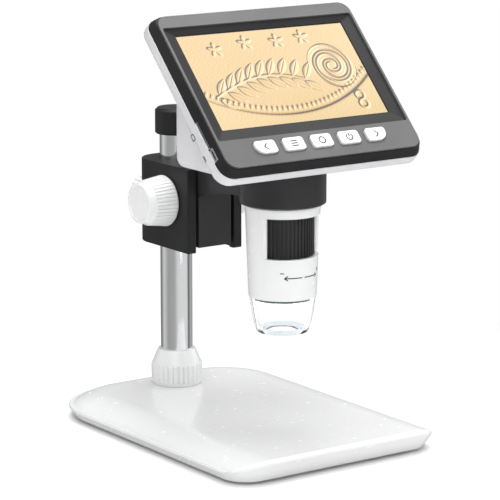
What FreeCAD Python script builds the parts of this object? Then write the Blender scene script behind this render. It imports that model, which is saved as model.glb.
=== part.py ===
"""LCD digital microscope on a focusing stand, in millimetres.

The frame stands on the table plane: origin under the middle of the base, X across, Y towards the
column, Z up. The lens, the display's centre and the barrel share one vertical axis in front of the
column. The display head is laid out in the display's own plane and then tilted into place.
"""
import FreeCAD, Part
import Sketcher
import math
import os

os.makedirs("parts", exist_ok=True)
document = FreeCAD.newDocument("Microscope")
sheet = document.addObject("Spreadsheet::Sheet", "Sizes")

driving_sizes = {
    # Base: a wide moulded cover with soft shoulders, a ballast plate and a bottom plate.
    "base_width": 120.0,
    "base_length": 174.0,
    "base_height": 11.0,
    "base_corner": 16.0,
    "base_rear_corner": 32.0,
    "base_wall": 3.0,
    "base_edge_level": 4.0,
    "base_edge_ledge": 2.2,
    "base_edge_round": 0.8,
    "base_shoulder_radius": 25.0,
    "base_shoulder_angle": 38.0,
    "base_corner_share": 0.62,
    "base_rake_angle": 36.0,
    "base_front_round": 1.6,
    "base_pocket_border": 18.0,
    "base_pocket_front": 16.0,
    "base_plate_gap": 0.2,
    "ballast_thickness": 5.0,
    "foot_height": 1.5,
    "foot_radius": 5.0,
    "foot_inset": 8.0,
    # Where the lens axis and the column stand.
    "lens_from_front": 53.5,
    "column_from_lens": 90.7,
    # Column, its cap, its foot nut and the bolt that holds it.
    "column_radius": 8.0,
    "column_wall": 1.5,
    "column_length": 139.0,
    "column_plug_length": 20.0,
    "bolt_radius": 3.9,
    "bolt_hole_radius": 4.2,
    "bolt_head_radius": 6.2,
    "bolt_head_height": 2.4,
    "cap_radius": 10.2,
    "cap_height": 13.0,
    "cap_roof": 1.8,
    "cap_bevel": 1.3,
    "nut_top_radius": 10.0,
    "nut_shoulder_radius": 12.3,
    "nut_grip_radius": 12.9,
    "nut_height": 18.0,
    "nut_cone_height": 7.0,
    "nut_grip_height": 9.0,
    "nut_groove_depth": 0.7,
    "nut_groove_width": 1.3,
    "nut_groove_count": 30,
    "turning_gap": 0.1,
    "bore_clearance": 0.06,
    "cutter_overrun": 0.2,
    # Bracket that clamps the column and guides the focusing slider.
    "bracket_bottom": 86.2,
    "bracket_height": 41.9,
    "bracket_half_width": 16.1,
    "bracket_front": 34.4,
    "bracket_rear": 15.5,
    "bracket_rear_round": 13.0,
    "bracket_flange": 4.0,
    "bracket_edge_round": 0.6,
    "slider_half_width": 9.5,
    "slider_flange_gap": 1.8,
    "slider_wing": 3.3,
    "slider_wing_depth": 6.4,
    "slider_clearance": 0.08,
    "slider_bottom": 88.7,
    "rack_half_width": 4.4,
    "rack_module": 0.8,
    "pinion_teeth": 12,
    "pressure_angle": 20.0,
    "rack_dedendum": 1.25,
    "pinion_dedendum": 1.2,
    "pinion_half_length": 4.2,
    "pinion_height": 110.2,
    "pinion_from_column": 15.1,
    "mesh_backlash": 0.09,
    "rack_tip": 0.52,
    "chamber_clearance": 0.35,
    "shaft_radius": 2.5,
    "shaft_clearance": 0.05,
    "shaft_in_knob": 12.4,
    "press_gap": 0.02,
    # Two focusing knobs on the pinion shaft.
    "knob_gap": 0.45,
    "knob_length": 15.5,
    "knob_inner_radius": 12.8,
    "knob_outer_radius": 10.6,
    "knob_collar": 0.9,
    "knob_grip_length": 10.4,
    "knob_groove_depth": 0.62,
    "knob_groove_width": 1.05,
    "knob_groove_count": 40,
    "knob_dish_radius": 9.0,
    "knob_dish_depth": 0.6,
    "knob_edge_round": 0.7,
    # Lock knob at the back of the bracket.
    "lock_height": 106.1,
    "lock_screw_radius": 2.5,
    "lock_knob_radius": 10.0,
    "lock_knob_length": 10.4,
    "lock_neck_radius": 5.0,
    "lock_neck_length": 2.2,
    "lock_groove_count": 24,
    "lock_groove_radius": 0.8,
    # Arm and ring that hold the head.
    "ring_radius": 20.6,
    "ring_height": 18.1,
    "ring_edge_round": 0.7,
    "arm_top_drop": 6.0,
    "arm_arch": 5.8,
    "arm_root_overlap": 1.0,
    # Barrel with its neck, guide tube and focus wheel.
    "neck_radius": 16.9,
    "neck_wall": 1.8,
    "neck_flange_radius": 20.5,
    "neck_flange_height": 2.0,
    "barrel_lip_radius": 18.4,
    "barrel_lip_height": 1.7,
    "barrel_top_radius": 17.9,
    "barrel_foot_radius": 16.2,
    "barrel_length": 44.5,
    "barrel_bore_radius": 13.0,
    "wheel_room": 0.4,
    "wheel_radius": 14.9,
    "wheel_window_drop": 5.0,
    "wheel_window_height": 19.6,
    "wheel_window_angle": 128.0,
    "wheel_window_bevel": 1.2,
    "wheel_end_gap": 0.25,
    "wheel_rib_count": 48,
    "wheel_rib_depth": 0.55,
    "wheel_rib_width": 0.85,
    "guide_radius": 11.0,
    "guide_wall": 1.6,
    "guide_slot_width": 2.4,
    "guide_slot_spare": 0.4,
    "lens_travel": 4.0,
    "carrier_length": 24.0,
    "carrier_rise": 7.3,
    "carrier_pin_drop": 4.0,
    "carrier_wall": 1.6,
    "pin_radius": 1.0,
    "pin_end_gap": 0.1,
    "lens_seat": 0.6,
    "lens_centre_share": 0.55,
    "lens_centre_drop": 0.1,
    "front_lens_thickness": 3.2,
    "rear_lens_thickness": 2.4,
    "lens_bulge": 0.9,
    # Lamp ring and clear cover under the barrel.
    "lamp_board_thickness": 1.2,
    "lamp_board_gap": 0.3,
    "lamp_board_step": 0.4,
    "lamp_count": 8,
    "lamp_size": 3.0,
    "lamp_height": 1.0,
    "cover_top_radius": 15.9,
    "cover_foot_radius": 13.9,
    "cover_tip_radius": 12.4,
    "cover_length": 17.5,
    "cover_tip_length": 5.0,
    "cover_wall": 2.0,
    "cover_mouth_radius": 9.0,
    "cover_floor": 2.4,
    "cover_rim_bevel": 1.2,
    "cover_rim_rise": 0.7,
    # Display head, laid out in the display's plane.
    "display_height": 179.5,
    "screen_tilt": 45.6,
    "display_width": 95.04,
    "display_tall": 53.86,
    "panel_border": 4.0,
    "panel_thickness": 4.2,
    "head_side": 6.08,
    "head_above": 9.07,
    "head_below": 20.47,
    "head_corner": 7.0,
    "bezel_depth": 3.0,
    "bezel_rise": 1.4,
    "bezel_slope": 23.0,
    "bezel_wall": 2.8,
    "face_thickness": 1.0,
    "face_margin": 0.5,
    "window_side": 6.58,
    "window_above": 4.07,
    "window_below": 7.07,
    "window_corner": 1.2,
    "mask_border": 0.6,
    "mask_depth": 0.25,
    # Rear housing: a rim behind the bezel and a wedge that carries the neck.
    "rim_depth": 6.6,
    "rim_outset": 0.35,
    "rim_round": 2.6,
    "housing_wall": 2.2,
    "wedge_half_width": 46.0,
    "wedge_back": 23.5,
    "wedge_floor_drop": 42.0,
    "wedge_back_round": 5.0,
    "wedge_side_round": 4.0,
    # Five buttons under the display.
    "button_pitch": 15.8,
    "button_width": 11.5,
    "button_tall": 7.0,
    "button_row_drop": 6.3,
    "button_corner": 1.6,
    "button_end_corner": 5.0,
    "button_gap": 0.35,
    "button_proud": 1.2,
    "button_flange": 0.9,
    "button_flange_height": 1.0,
    "button_flange_gap": 0.05,
    "button_stem_radius": 1.6,
    "button_travel": 0.5,
    "switch_size": 4.5,
    "switch_height": 1.0,
    "board_thickness": 1.2,
    "board_margin": 1.4,
    "battery_width": 60.0,
    "battery_tall": 38.0,
    "battery_thickness": 4.6,
    # Card slot and power socket in the left side of the head.
    "card_slot_rise": 3.93,
    "card_slot_length": 15.0,
    "card_slot_tall": 1.2,
    "port_drop": 7.47,
    "port_length": 6.8,
    "port_tall": 2.0,
    "socket_reach": 0.5,
    "socket_depth": 5.6,
}

for row, (alias, number) in enumerate(driving_sizes.items(), start=1):
    sheet.set(f"A{row}", alias)
    sheet.set(f"B{row}", str(number))
    sheet.setAlias(f"B{row}", alias)
document.recompute()


class Size:
    """A length or angle that keeps its number beside the sheet expression it comes from."""

    def __init__(self, number, text):
        self.number = number
        self.text = text

    def __add__(self, other):
        other = as_size(other)
        return Size(self.number + other.number, f"({self.text} + {other.text})")

    def __sub__(self, other):
        other = as_size(other)
        return Size(self.number - other.number, f"({self.text} - {other.text})")

    def __mul__(self, other):
        other = as_size(other)
        return Size(self.number * other.number, f"({self.text} * {other.text})")

    def __truediv__(self, other):
        other = as_size(other)
        return Size(self.number / other.number, f"({self.text} / {other.text})")

    def __radd__(self, other):
        return as_size(other) + self

    def __rsub__(self, other):
        return as_size(other) - self

    def __rmul__(self, other):
        return as_size(other) * self

    def __neg__(self):
        return Size(-self.number, f"(-{self.text})")


def as_size(value):
    """Plain numbers join in as expressions of themselves."""
    if isinstance(value, Size):
        return value
    return Size(float(value), f"({float(value)})")


def cosine(angle):
    return Size(math.cos(math.radians(angle.number)), f"cos({angle.text})")


def sine(angle):
    return Size(math.sin(math.radians(angle.number)), f"sin({angle.text})")


def tangent(angle):
    return Size(math.tan(math.radians(angle.number)), f"tan({angle.text})")


class SheetSizes:
    """Reads each alias of the sheet as a Size."""

    def __getattr__(self, alias):
        return Size(float(getattr(sheet, alias)), f"Sizes.{alias}")


size = SheetSizes()


def bind(item, field, value):
    """Tie one property of an object to the sheet."""
    item.setExpression(field, as_size(value).text)


def place(item, x=0.0, y=0.0, z=0.0):
    """Tie an object's position to the sheet."""
    for axis, value in (("x", x), ("y", y), ("z", z)):
        bind(item, f"Placement.Base.{axis}", value)
    return item


def origin_plane(body, role):
    for feature in body.Origin.OriginFeatures:
        if feature.Role == role:
            return feature
    raise ValueError(role)


def new_body(label):
    body = document.addObject("PartDesign::Body", label)
    body.Label = label
    return body


def new_sketch(body, role, name, lift=0.0):
    """Sketch on one of the body's own planes, raised along the plane's normal."""
    sketch = body.newObject("Sketcher::SketchObject", name)
    sketch.AttachmentSupport = [(origin_plane(body, role), "")]
    sketch.MapMode = "FlatFace"
    bind(sketch, "AttachmentOffset.Base.z", lift)
    return sketch


def pin_point(sketch, shape, point, x, y):
    """Hold one sketch point at a position that follows the sheet."""
    for kind, value in (("DistanceX", x), ("DistanceY", y)):
        value = as_size(value)
        number = sketch.addConstraint(Sketcher.Constraint(kind, -1, 1, shape, point, value.number))
        sketch.setExpression(f"Constraints[{number}]", value.text)


def add_polygon(sketch, points):
    """Closed outline of straight lines through the given points."""
    corners = [FreeCAD.Vector(as_size(x).number, as_size(y).number, 0) for x, y in points]
    lines = []
    for start, end in zip(corners, corners[1:] + corners[:1]):
        lines.append(sketch.addGeometry(Part.LineSegment(start, end), False))
    for line, following in zip(lines, lines[1:] + lines[:1]):
        sketch.addConstraint(Sketcher.Constraint("Coincident", line, 2, following, 1))
    for line, (x, y) in zip(lines, points):
        pin_point(sketch, line, 1, x, y)
    return sketch


def add_circle(sketch, x, y, radius):
    centre = FreeCAD.Vector(as_size(x).number, as_size(y).number, 0)
    radius = as_size(radius)
    round_line = sketch.addGeometry(Part.Circle(centre, FreeCAD.Vector(0, 0, 1), radius.number), False)
    pin_point(sketch, round_line, 3, x, y)
    number = sketch.addConstraint(Sketcher.Constraint("Radius", round_line, radius.number))
    sketch.setExpression(f"Constraints[{number}]", radius.text)
    return sketch


def add_rounded_box(sketch, left, right, low, high, radius, high_radius=None):
    """Rectangle with arcs for corners; the two on its high side may have a radius of their own."""
    x0, x1, y0, y1, r = (as_size(value) for value in (left, right, low, high, radius))
    far = r if high_radius is None else as_size(high_radius)
    centres = [(x1 - far, y1 - far), (x0 + far, y1 - far), (x0 + r, y0 + r), (x1 - r, y0 + r)]
    arcs = []
    for quarter, (x, y) in enumerate(centres):
        reach = far if quarter < 2 else r
        circle = Part.Circle(FreeCAD.Vector(x.number, y.number, 0), FreeCAD.Vector(0, 0, 1), reach.number)
        start = quarter * math.pi / 2
        arcs.append(sketch.addGeometry(Part.ArcOfCircle(circle, start, start + math.pi / 2), False))
    for quarter, arc in enumerate(arcs):
        following = arcs[(quarter + 1) % 4]
        start = sketch.getPoint(arc, 2)
        end = sketch.getPoint(following, 1)
        line = sketch.addGeometry(Part.LineSegment(start, end), False)
        sketch.addConstraint(Sketcher.Constraint("Tangent", arc, 2, line, 1))
        sketch.addConstraint(Sketcher.Constraint("Tangent", line, 2, following, 1))
        direction = "Horizontal" if quarter % 2 == 0 else "Vertical"
        sketch.addConstraint(Sketcher.Constraint(direction, line))
    for arc, (x, y) in zip(arcs[0::2], centres[0::2]):
        pin_point(sketch, arc, 3, x, y)
    for first, second, reach in ((arcs[0], arcs[1], far), (arcs[2], arcs[3], r)):
        number = sketch.addConstraint(Sketcher.Constraint("Radius", first, reach.number))
        sketch.setExpression(f"Constraints[{number}]", reach.text)
        sketch.addConstraint(Sketcher.Constraint("Equal", first, second))
    return sketch


def add_feature(body, kind, name, sketch):
    feature = body.newObject(kind, name)
    feature.Profile = sketch
    sketch.Visibility = False
    body.Tip = feature
    return feature


def pad(body, sketch, length, reverse=False, middle=False, taper=None):
    feature = add_feature(body, "PartDesign::Pad", sketch.Name + "_pad", sketch)
    bind(feature, "Length", length)
    feature.Reversed = reverse
    feature.Midplane = middle
    if taper is not None:
        bind(feature, "TaperAngle", taper)
    return feature


def pocket(body, sketch, length, reverse=False, middle=False):
    feature = add_feature(body, "PartDesign::Pocket", sketch.Name + "_pocket", sketch)
    bind(feature, "Length", length)
    feature.Reversed = reverse
    feature.Midplane = middle
    return feature


def turn(body, sketch, cut=False):
    """Revolve a half profile about the sketch's vertical axis."""
    kind = "PartDesign::Groove" if cut else "PartDesign::Revolution"
    feature = add_feature(body, kind, sketch.Name + "_turn", sketch)
    feature.ReferenceAxis = (sketch, ["V_Axis"])
    feature.Angle = 360.0
    return feature


def repeat_round(body, feature, axis_role, count):
    """Copies of one feature around an axis of the body."""
    pattern = body.newObject("PartDesign::PolarPattern", feature.Name + "_ring")
    pattern.Originals = [feature]
    pattern.Axis = (origin_plane(body, axis_role), [""])
    pattern.Angle = 360.0
    bind(pattern, "Occurrences", count)
    body.Tip = pattern
    return pattern


def soften(body, feature, radius, chosen, kind="PartDesign::Fillet"):
    """Round or bevel the edges of a feature for which chosen(edge) holds."""
    document.recompute()
    names = [f"Edge{i}" for i, edge in enumerate(feature.Shape.Edges, start=1) if chosen(edge)]
    softened = body.newObject(kind, feature.Name + "_soft")
    softened.Base = (feature, names)
    bind(softened, "Radius" if kind == "PartDesign::Fillet" else "Size", radius)
    body.Tip = softened
    return softened


# Two places closer than this are the same edge or level; two directions closer are parallel.
SAME_PLACE = 0.02
SAME_DIRECTION = 1e-6


def runs_along(edge, axis):
    """True for a straight edge parallel to the given axis letter."""
    if not isinstance(edge.Curve, Part.Line):
        return False
    return abs(abs(getattr(edge.Curve.Direction, axis)) - 1) < SAME_DIRECTION


def edge_at(edge, **where):
    """True when the edge's middle lies at the given coordinates."""
    middle = edge.CenterOfMass
    return all(
        abs(getattr(middle, axis) - as_size(value).number) < SAME_PLACE for axis, value in where.items()
    )


def box(label, corner, extent):
    item = document.addObject("Part::Box", label)
    item.Label = label
    place(item, *corner)
    for field, value in zip(("Length", "Width", "Height"), extent):
        bind(item, field, value)
    return item


def cylinder(label, radius, height, x=0.0, y=0.0, z=0.0, along="z"):
    """Cylinder from the given point along +X, +Y or +Z."""
    item = document.addObject("Part::Cylinder", label)
    item.Label = label
    bind(item, "Radius", radius)
    bind(item, "Height", height)
    if along == "x":
        item.Placement.Rotation = FreeCAD.Rotation(FreeCAD.Vector(0, 1, 0), 90)
    if along == "y":
        item.Placement.Rotation = FreeCAD.Rotation(FreeCAD.Vector(1, 0, 0), -90)
    return place(item, x, y, z)


def cut(label, base, tools):
    """Take one tool, or the union of several, out of the base."""
    tool = tools[0] if len(tools) == 1 else fuse(label + "_cutters", tools)
    item = document.addObject("Part::Cut", label)
    item.Label = label
    item.Base = base
    item.Tool = tool
    return item


def fuse(label, pieces):
    item = document.addObject("Part::MultiFuse", label)
    item.Label = label
    item.Shapes = pieces
    return item


def common(label, pieces):
    item = document.addObject("Part::MultiCommon", label)
    item.Label = label
    item.Shapes = pieces
    return item


def group(label, pieces):
    """Separate solids kept as one sub-part."""
    item = document.addObject("Part::Compound", label)
    item.Label = label
    item.Links = pieces
    return item


sub_parts = []


def keep(item):
    sub_parts.append(item)
    return item


# Levels and centres that several pieces share.
base_bottom = size.foot_height
base_top = base_bottom + size.base_height
base_edge = base_bottom + size.base_edge_level
half_width = size.base_width / 2
half_length = size.base_length / 2
lens_y = size.lens_from_front - half_length
column_y = lens_y + size.column_from_lens
shoulder_drop = size.base_shoulder_radius * (1 - cosine(size.base_shoulder_angle))
shoulder_run = size.base_shoulder_radius * sine(size.base_shoulder_angle)
ledge_level = base_top - shoulder_drop
rake_above_edge = (base_top - base_edge) * tangent(size.base_rake_angle)

# Base cover: the crown is lofted through rounded rectangles that follow a circular shoulder.
crown = new_body("base_crown")
front_overhang = size.base_corner * 2
rim_sketch = new_sketch(crown, "XY_Plane", "crown_rim", base_bottom)
add_rounded_box(
    rim_sketch,
    -half_width,
    half_width,
    -half_length - front_overhang,
    half_length,
    size.base_corner,
    size.base_rear_corner,
)
crown_rim = pad(crown, rim_sketch, ledge_level - base_bottom)
soften(crown, crown_rim, size.base_edge_round, lambda edge: edge_at(edge, z=ledge_level))
shoulder_sections = []
shoulder_steps = 4
for step in range(shoulder_steps + 1):
    angle = size.base_shoulder_angle * (1 - step / shoulder_steps)
    inset = size.base_edge_ledge + shoulder_run - size.base_shoulder_radius * sine(angle)
    level = base_top - size.base_shoulder_radius * (1 - cosine(angle))
    section = new_sketch(crown, "XY_Plane", f"crown_section_{step}", level)
    add_rounded_box(
        section,
        inset - half_width,
        half_width - inset,
        inset - half_length - front_overhang,
        half_length - inset,
        size.base_corner - inset * size.base_corner_share,
        size.base_rear_corner - inset * size.base_corner_share,
    )
    shoulder_sections.append(section)
shoulder_loft = crown.newObject("PartDesign::AdditiveLoft", "crown_loft")
shoulder_loft.Profile = shoulder_sections[0]
shoulder_loft.Sections = shoulder_sections[1:]
crown.Tip = shoulder_loft

# The raked frustum trims the crown: it slants the front face and undercuts the other sides.
rake = new_body("base_rake")
rake_sketch = new_sketch(rake, "XY_Plane", "rake_outline", base_top)
add_rounded_box(
    rake_sketch,
    -half_width - rake_above_edge,
    half_width + rake_above_edge,
    -half_length,
    half_length + rake_above_edge,
    size.base_corner + rake_above_edge,
    size.base_rear_corner + rake_above_edge,
)
pad(rake, rake_sketch, size.base_height, reverse=True, taper=-size.base_rake_angle)
base_form = common("base_form", [crown, rake])
pocket_left = size.base_pocket_border - half_width
pocket_right = -pocket_left
pocket_front = size.base_pocket_front - half_length
pocket_back = half_length - size.base_pocket_border
pocket_cutter = box(
    "base_pocket",
    (pocket_left, pocket_front, base_bottom - 1),
    (pocket_right - pocket_left, pocket_back - pocket_front, size.base_height - size.base_wall + 1),
)
bolt_hole = cylinder(
    "base_bolt_hole", size.bolt_hole_radius, size.base_height + 2, 0, column_y, base_bottom - 1
)
document.recompute()
front_edges = []
for number, edge in enumerate(base_form.Shape.Edges, start=1):
    middle = edge.CenterOfMass
    on_top = abs(edge.BoundBox.ZMax - base_top.number) < SAME_PLACE
    if on_top and middle.y < (size.base_corner - half_length).number and edge.BoundBox.YLength < 1:
        front_edges.append((number, size.base_front_round.number, size.base_front_round.number))
base_rounded = document.addObject("Part::Fillet", "base_rounded")
base_rounded.Base = base_form
base_rounded.Edges = front_edges
keep(cut("base_shell", base_rounded, [pocket_cutter, bolt_hole]))

# Ballast plate, bottom plate and feet close the underside.
ballast_bottom = base_top - size.base_wall - size.ballast_thickness
plate_gap = size.base_plate_gap
plate_width = pocket_right - pocket_left - plate_gap * 2
plate_length = pocket_back - pocket_front - plate_gap * 2
ballast_block = box(
    "ballast_block",
    (pocket_left + plate_gap, pocket_front + plate_gap, ballast_bottom),
    (plate_width, plate_length, size.ballast_thickness),
)
ballast_hole = cylinder("ballast_hole", size.bolt_hole_radius, size.base_height, 0, column_y, base_bottom)
keep(cut("ballast_plate", ballast_block, [ballast_hole]))
bottom_block = box(
    "bottom_block",
    (pocket_left + plate_gap, pocket_front + plate_gap, base_bottom),
    (plate_width, plate_length, ballast_bottom - base_bottom),
)
head_well = cylinder("bolt_head_well", size.bolt_head_radius + plate_gap, size.base_height, 0, column_y, 0)
keep(cut("bottom_plate", bottom_block, [head_well]))
foot_spots = [
    (x, y)
    for x in (pocket_left + size.foot_inset, pocket_right - size.foot_inset)
    for y in (pocket_front + size.foot_inset, pocket_back - size.foot_inset)
]
feet = [
    cylinder(f"foot_{number}", size.foot_radius, size.foot_height, x, y)
    for number, (x, y) in enumerate(foot_spots, start=1)
]
keep(group("rubber_feet", feet))

# Column: a chromed tube with a threaded plug, held from below by one bolt.
column = keep(new_body("column_tube"))
place(column, 0, column_y, base_top)
column_sketch = new_sketch(column, "XY_Plane", "column_ring")
add_circle(column_sketch, 0, 0, size.column_radius)
add_circle(column_sketch, 0, 0, size.column_radius - size.column_wall)
pad(column, column_sketch, size.column_length)
plug = keep(new_body("column_plug"))
place(plug, 0, column_y, base_top)
plug_sketch = new_sketch(plug, "XY_Plane", "plug_ring")
add_circle(plug_sketch, 0, 0, size.column_radius - size.column_wall)
add_circle(plug_sketch, 0, 0, size.bolt_radius)
pad(plug, plug_sketch, size.column_plug_length)
bolt_head = cylinder(
    "bolt_head",
    size.bolt_head_radius,
    size.bolt_head_height,
    0,
    column_y,
    ballast_bottom - size.bolt_head_height,
)
bolt_length = base_top + size.column_plug_length - ballast_bottom
bolt_shank = cylinder("bolt_shank", size.bolt_radius, bolt_length, 0, column_y, ballast_bottom)
keep(fuse("column_bolt", [bolt_head, bolt_shank]))
cap = keep(new_body("column_cap"))
cap_bottom = base_top + size.column_length + size.cap_roof - size.cap_height
place(cap, 0, column_y, cap_bottom)
cap_sketch = new_sketch(cap, "XZ_Plane", "cap_profile")
add_polygon(
    cap_sketch,
    [
        (size.column_radius, 0),
        (size.cap_radius - size.cap_bevel / 2, 0),
        (size.cap_radius, size.cap_bevel / 2),
        (size.cap_radius, size.cap_height - size.cap_bevel),
        (size.cap_radius - size.cap_bevel, size.cap_height),
        (0, size.cap_height),
        (0, size.cap_height - size.cap_roof),
        (size.column_radius, size.cap_height - size.cap_roof),
    ],
)
turn(cap, cap_sketch)

# Foot nut: a smooth cone over a fluted grip, free to turn round the column.
nut = keep(new_body("column_foot_nut"))
place(nut, 0, column_y, base_top + size.turning_gap)
nut_sketch = new_sketch(nut, "XZ_Plane", "nut_profile")
nut_bore = size.column_radius + size.bore_clearance
nut_cone_foot = size.nut_height - size.nut_cone_height
nut_grip_foot = nut_cone_foot - size.nut_grip_height
add_polygon(
    nut_sketch,
    [
        (nut_bore, 0),
        (size.nut_shoulder_radius, 0),
        (size.nut_grip_radius, nut_grip_foot),
        (size.nut_grip_radius, nut_cone_foot - size.nut_groove_depth),
        (size.nut_shoulder_radius, nut_cone_foot),
        (size.nut_top_radius, size.nut_height - size.cap_bevel),
        (size.nut_top_radius - size.cap_bevel / 2, size.nut_height),
        (nut_bore, size.nut_height),
    ],
)
turn(nut, nut_sketch)
nut_groove = new_sketch(nut, "XY_Plane", "nut_groove", nut_grip_foot)
add_polygon(
    nut_groove,
    [
        (size.nut_grip_radius - size.nut_groove_depth, 0),
        (size.nut_grip_radius + size.cutter_overrun, -size.nut_groove_width / 2),
        (size.nut_grip_radius + size.cutter_overrun, size.nut_groove_width / 2),
    ],
)
nut_groove_cut = pocket(nut, nut_groove, size.nut_grip_height, reverse=True)
repeat_round(nut, nut_groove_cut, "Z_Axis", size.nut_groove_count)

# Bracket: clamps the column behind, guides the slider in a T channel and holds the pinion between.
bracket_front = -size.bracket_front
flange_back = bracket_front + size.bracket_flange
pitch_radius = size.rack_module * size.pinion_teeth / 2
pinion_y = -size.pinion_from_column
rack_pitch_y = pinion_y - pitch_radius
rack_root_y = rack_pitch_y - size.rack_module * size.rack_dedendum
rack_tip_y = rack_pitch_y + size.rack_tip
wing_half = size.slider_half_width + size.slider_wing
wing_back = flange_back + size.slider_wing_depth
bracket = new_body("bracket_form")
place(bracket, 0, column_y, size.bracket_bottom)
bracket_sketch = new_sketch(bracket, "XY_Plane", "bracket_outline")
add_polygon(
    bracket_sketch,
    [
        (-size.bracket_half_width, bracket_front),
        (size.bracket_half_width, bracket_front),
        (size.bracket_half_width, size.bracket_rear),
        (-size.bracket_half_width, size.bracket_rear),
    ],
)
bracket_block = pad(bracket, bracket_sketch, size.bracket_height)
bracket_round = soften(
    bracket,
    bracket_block,
    size.bracket_rear_round,
    lambda edge: runs_along(edge, "z") and edge_at(edge, y=size.bracket_rear),
)
soften(
    bracket,
    bracket_round,
    size.bracket_edge_round,
    lambda edge: not runs_along(edge, "z") or edge_at(edge, y=bracket_front),
)
channel_sketch = new_sketch(bracket, "XY_Plane", "channel_outline")
slot_half = size.slider_half_width + size.slider_flange_gap
play = size.slider_clearance
rack_play = size.chamber_clearance
add_polygon(
    channel_sketch,
    [
        (-slot_half, bracket_front - 1),
        (slot_half, bracket_front - 1),
        (slot_half, flange_back),
        (wing_half + play, flange_back),
        (wing_half + play, wing_back + play),
        (size.rack_half_width + rack_play, wing_back + play),
        (size.rack_half_width + rack_play, rack_tip_y + rack_play),
        (-size.rack_half_width - rack_play, rack_tip_y + rack_play),
        (-size.rack_half_width - rack_play, wing_back + play),
        (-wing_half - play, wing_back + play),
        (-wing_half - play, flange_back),
        (-slot_half, flange_back),
    ],
)
pocket(bracket, channel_sketch, size.bracket_height, reverse=True)
bore_sketch = new_sketch(bracket, "XY_Plane", "column_bore")
add_circle(bore_sketch, 0, 0, size.column_radius + size.bore_clearance)
pocket(bracket, bore_sketch, size.bracket_height, reverse=True)
shaft_y = column_y - size.pinion_from_column
pinion_tip_radius = pitch_radius + size.rack_module
chamber_half = size.pinion_half_length + rack_play
chamber = cylinder(
    "pinion_chamber",
    pinion_tip_radius + rack_play,
    chamber_half * 2,
    -chamber_half,
    shaft_y,
    size.pinion_height,
    "x",
)
shaft_bore = cylinder(
    "shaft_bore",
    size.shaft_radius + size.shaft_clearance,
    size.bracket_half_width * 2 + 2,
    -size.bracket_half_width - 1,
    shaft_y,
    size.pinion_height,
    "x",
)
lock_bore = cylinder(
    "lock_bore",
    size.lock_screw_radius + size.shaft_clearance,
    size.bracket_rear + 1,
    0,
    column_y,
    size.lock_height,
    "y",
)
keep(cut("column_bracket", bracket, [chamber, shaft_bore, lock_bore]))

# Lock knob: a screw through the back of the bracket presses on the column.
lock = keep(new_body("rear_lock_knob"))
lock.Placement.Rotation = FreeCAD.Rotation(FreeCAD.Vector(1, 0, 0), -90)
lock_tip = size.column_radius + size.turning_gap
place(lock, 0, column_y + lock_tip, size.lock_height)
lock_sketch = new_sketch(lock, "XZ_Plane", "lock_profile")
neck_foot = size.bracket_rear + size.knob_gap - lock_tip
neck_top = neck_foot + size.lock_neck_length
lock_end = neck_top + size.lock_knob_length
add_polygon(
    lock_sketch,
    [
        (0, 0),
        (size.lock_screw_radius, 0),
        (size.lock_screw_radius, neck_foot),
        (size.lock_neck_radius, neck_foot),
        (size.lock_neck_radius, neck_top),
        (size.lock_knob_radius, neck_top),
        (size.lock_knob_radius, lock_end - size.knob_edge_round * 2),
        (size.lock_knob_radius - size.knob_edge_round * 2, lock_end),
        (0, lock_end),
    ],
)
turn(lock, lock_sketch)
lock_groove = new_sketch(lock, "XY_Plane", "lock_groove", neck_top)
add_circle(lock_groove, size.lock_knob_radius + size.lock_groove_radius / 3, 0, size.lock_groove_radius)
repeat_round(
    lock, pocket(lock, lock_groove, size.lock_knob_length, reverse=True), "Z_Axis", size.lock_groove_count
)

# Slider: wings behind the bracket's flanges and a rack cut along its spine.
arm_root_z = size.slider_bottom
wedge_floor = size.display_height - size.wedge_floor_drop
ring_top = wedge_floor - size.turning_gap
ring_bottom = ring_top - size.ring_height
arm_top = ring_top - size.arm_top_drop
slider_length = arm_top - arm_root_z
slider = keep(new_body("focus_slider"))
place(slider, 0, column_y, arm_root_z)
slider_sketch = new_sketch(slider, "XY_Plane", "slider_outline")
add_polygon(
    slider_sketch,
    [
        (-size.slider_half_width, bracket_front),
        (size.slider_half_width, bracket_front),
        (size.slider_half_width, flange_back + play),
        (wing_half, flange_back + play),
        (wing_half, wing_back),
        (size.rack_half_width, wing_back),
        (size.rack_half_width, rack_tip_y),
        (-size.rack_half_width, rack_tip_y),
        (-size.rack_half_width, wing_back),
        (-wing_half, wing_back),
        (-wing_half, flange_back + play),
        (-size.slider_half_width, flange_back + play),
    ],
)
pad(slider, slider_sketch, slider_length)
rack_pitch = size.rack_module * math.pi
flank = tangent(size.pressure_angle)
space_half = rack_pitch / 4 + size.mesh_backlash
space_tip = space_half + flank * size.rack_tip
space_root = space_half - flank * (size.rack_module * size.rack_dedendum)
pinion_on_slider = size.pinion_height - arm_root_z
spaces_below = math.floor(((pinion_on_slider - rack_pitch / 2) / rack_pitch).number)
first_space = pinion_on_slider - rack_pitch * (spaces_below + 0.5)
space_sketch = new_sketch(slider, "YZ_Plane", "rack_space")
add_polygon(
    space_sketch,
    [
        (rack_root_y, first_space - space_root),
        (rack_tip_y + size.cutter_overrun, first_space - space_tip - flank * size.cutter_overrun),
        (rack_tip_y + size.cutter_overrun, first_space + space_tip + flank * size.cutter_overrun),
        (rack_root_y, first_space + space_root),
    ],
)
rack_space = pocket(slider, space_sketch, size.rack_half_width * 2 + 1, middle=True)
space_count = math.floor(((slider_length - first_space - space_half) / rack_pitch).number) + 1
rack_row = slider.newObject("PartDesign::LinearPattern", "rack_row")
rack_row.Originals = [rack_space]
rack_row.Direction = (origin_plane(slider, "Z_Axis"), [""])
bind(rack_row, "Length", rack_pitch * (space_count - 1))
rack_row.Occurrences = space_count
slider.Tip = rack_row


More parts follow.
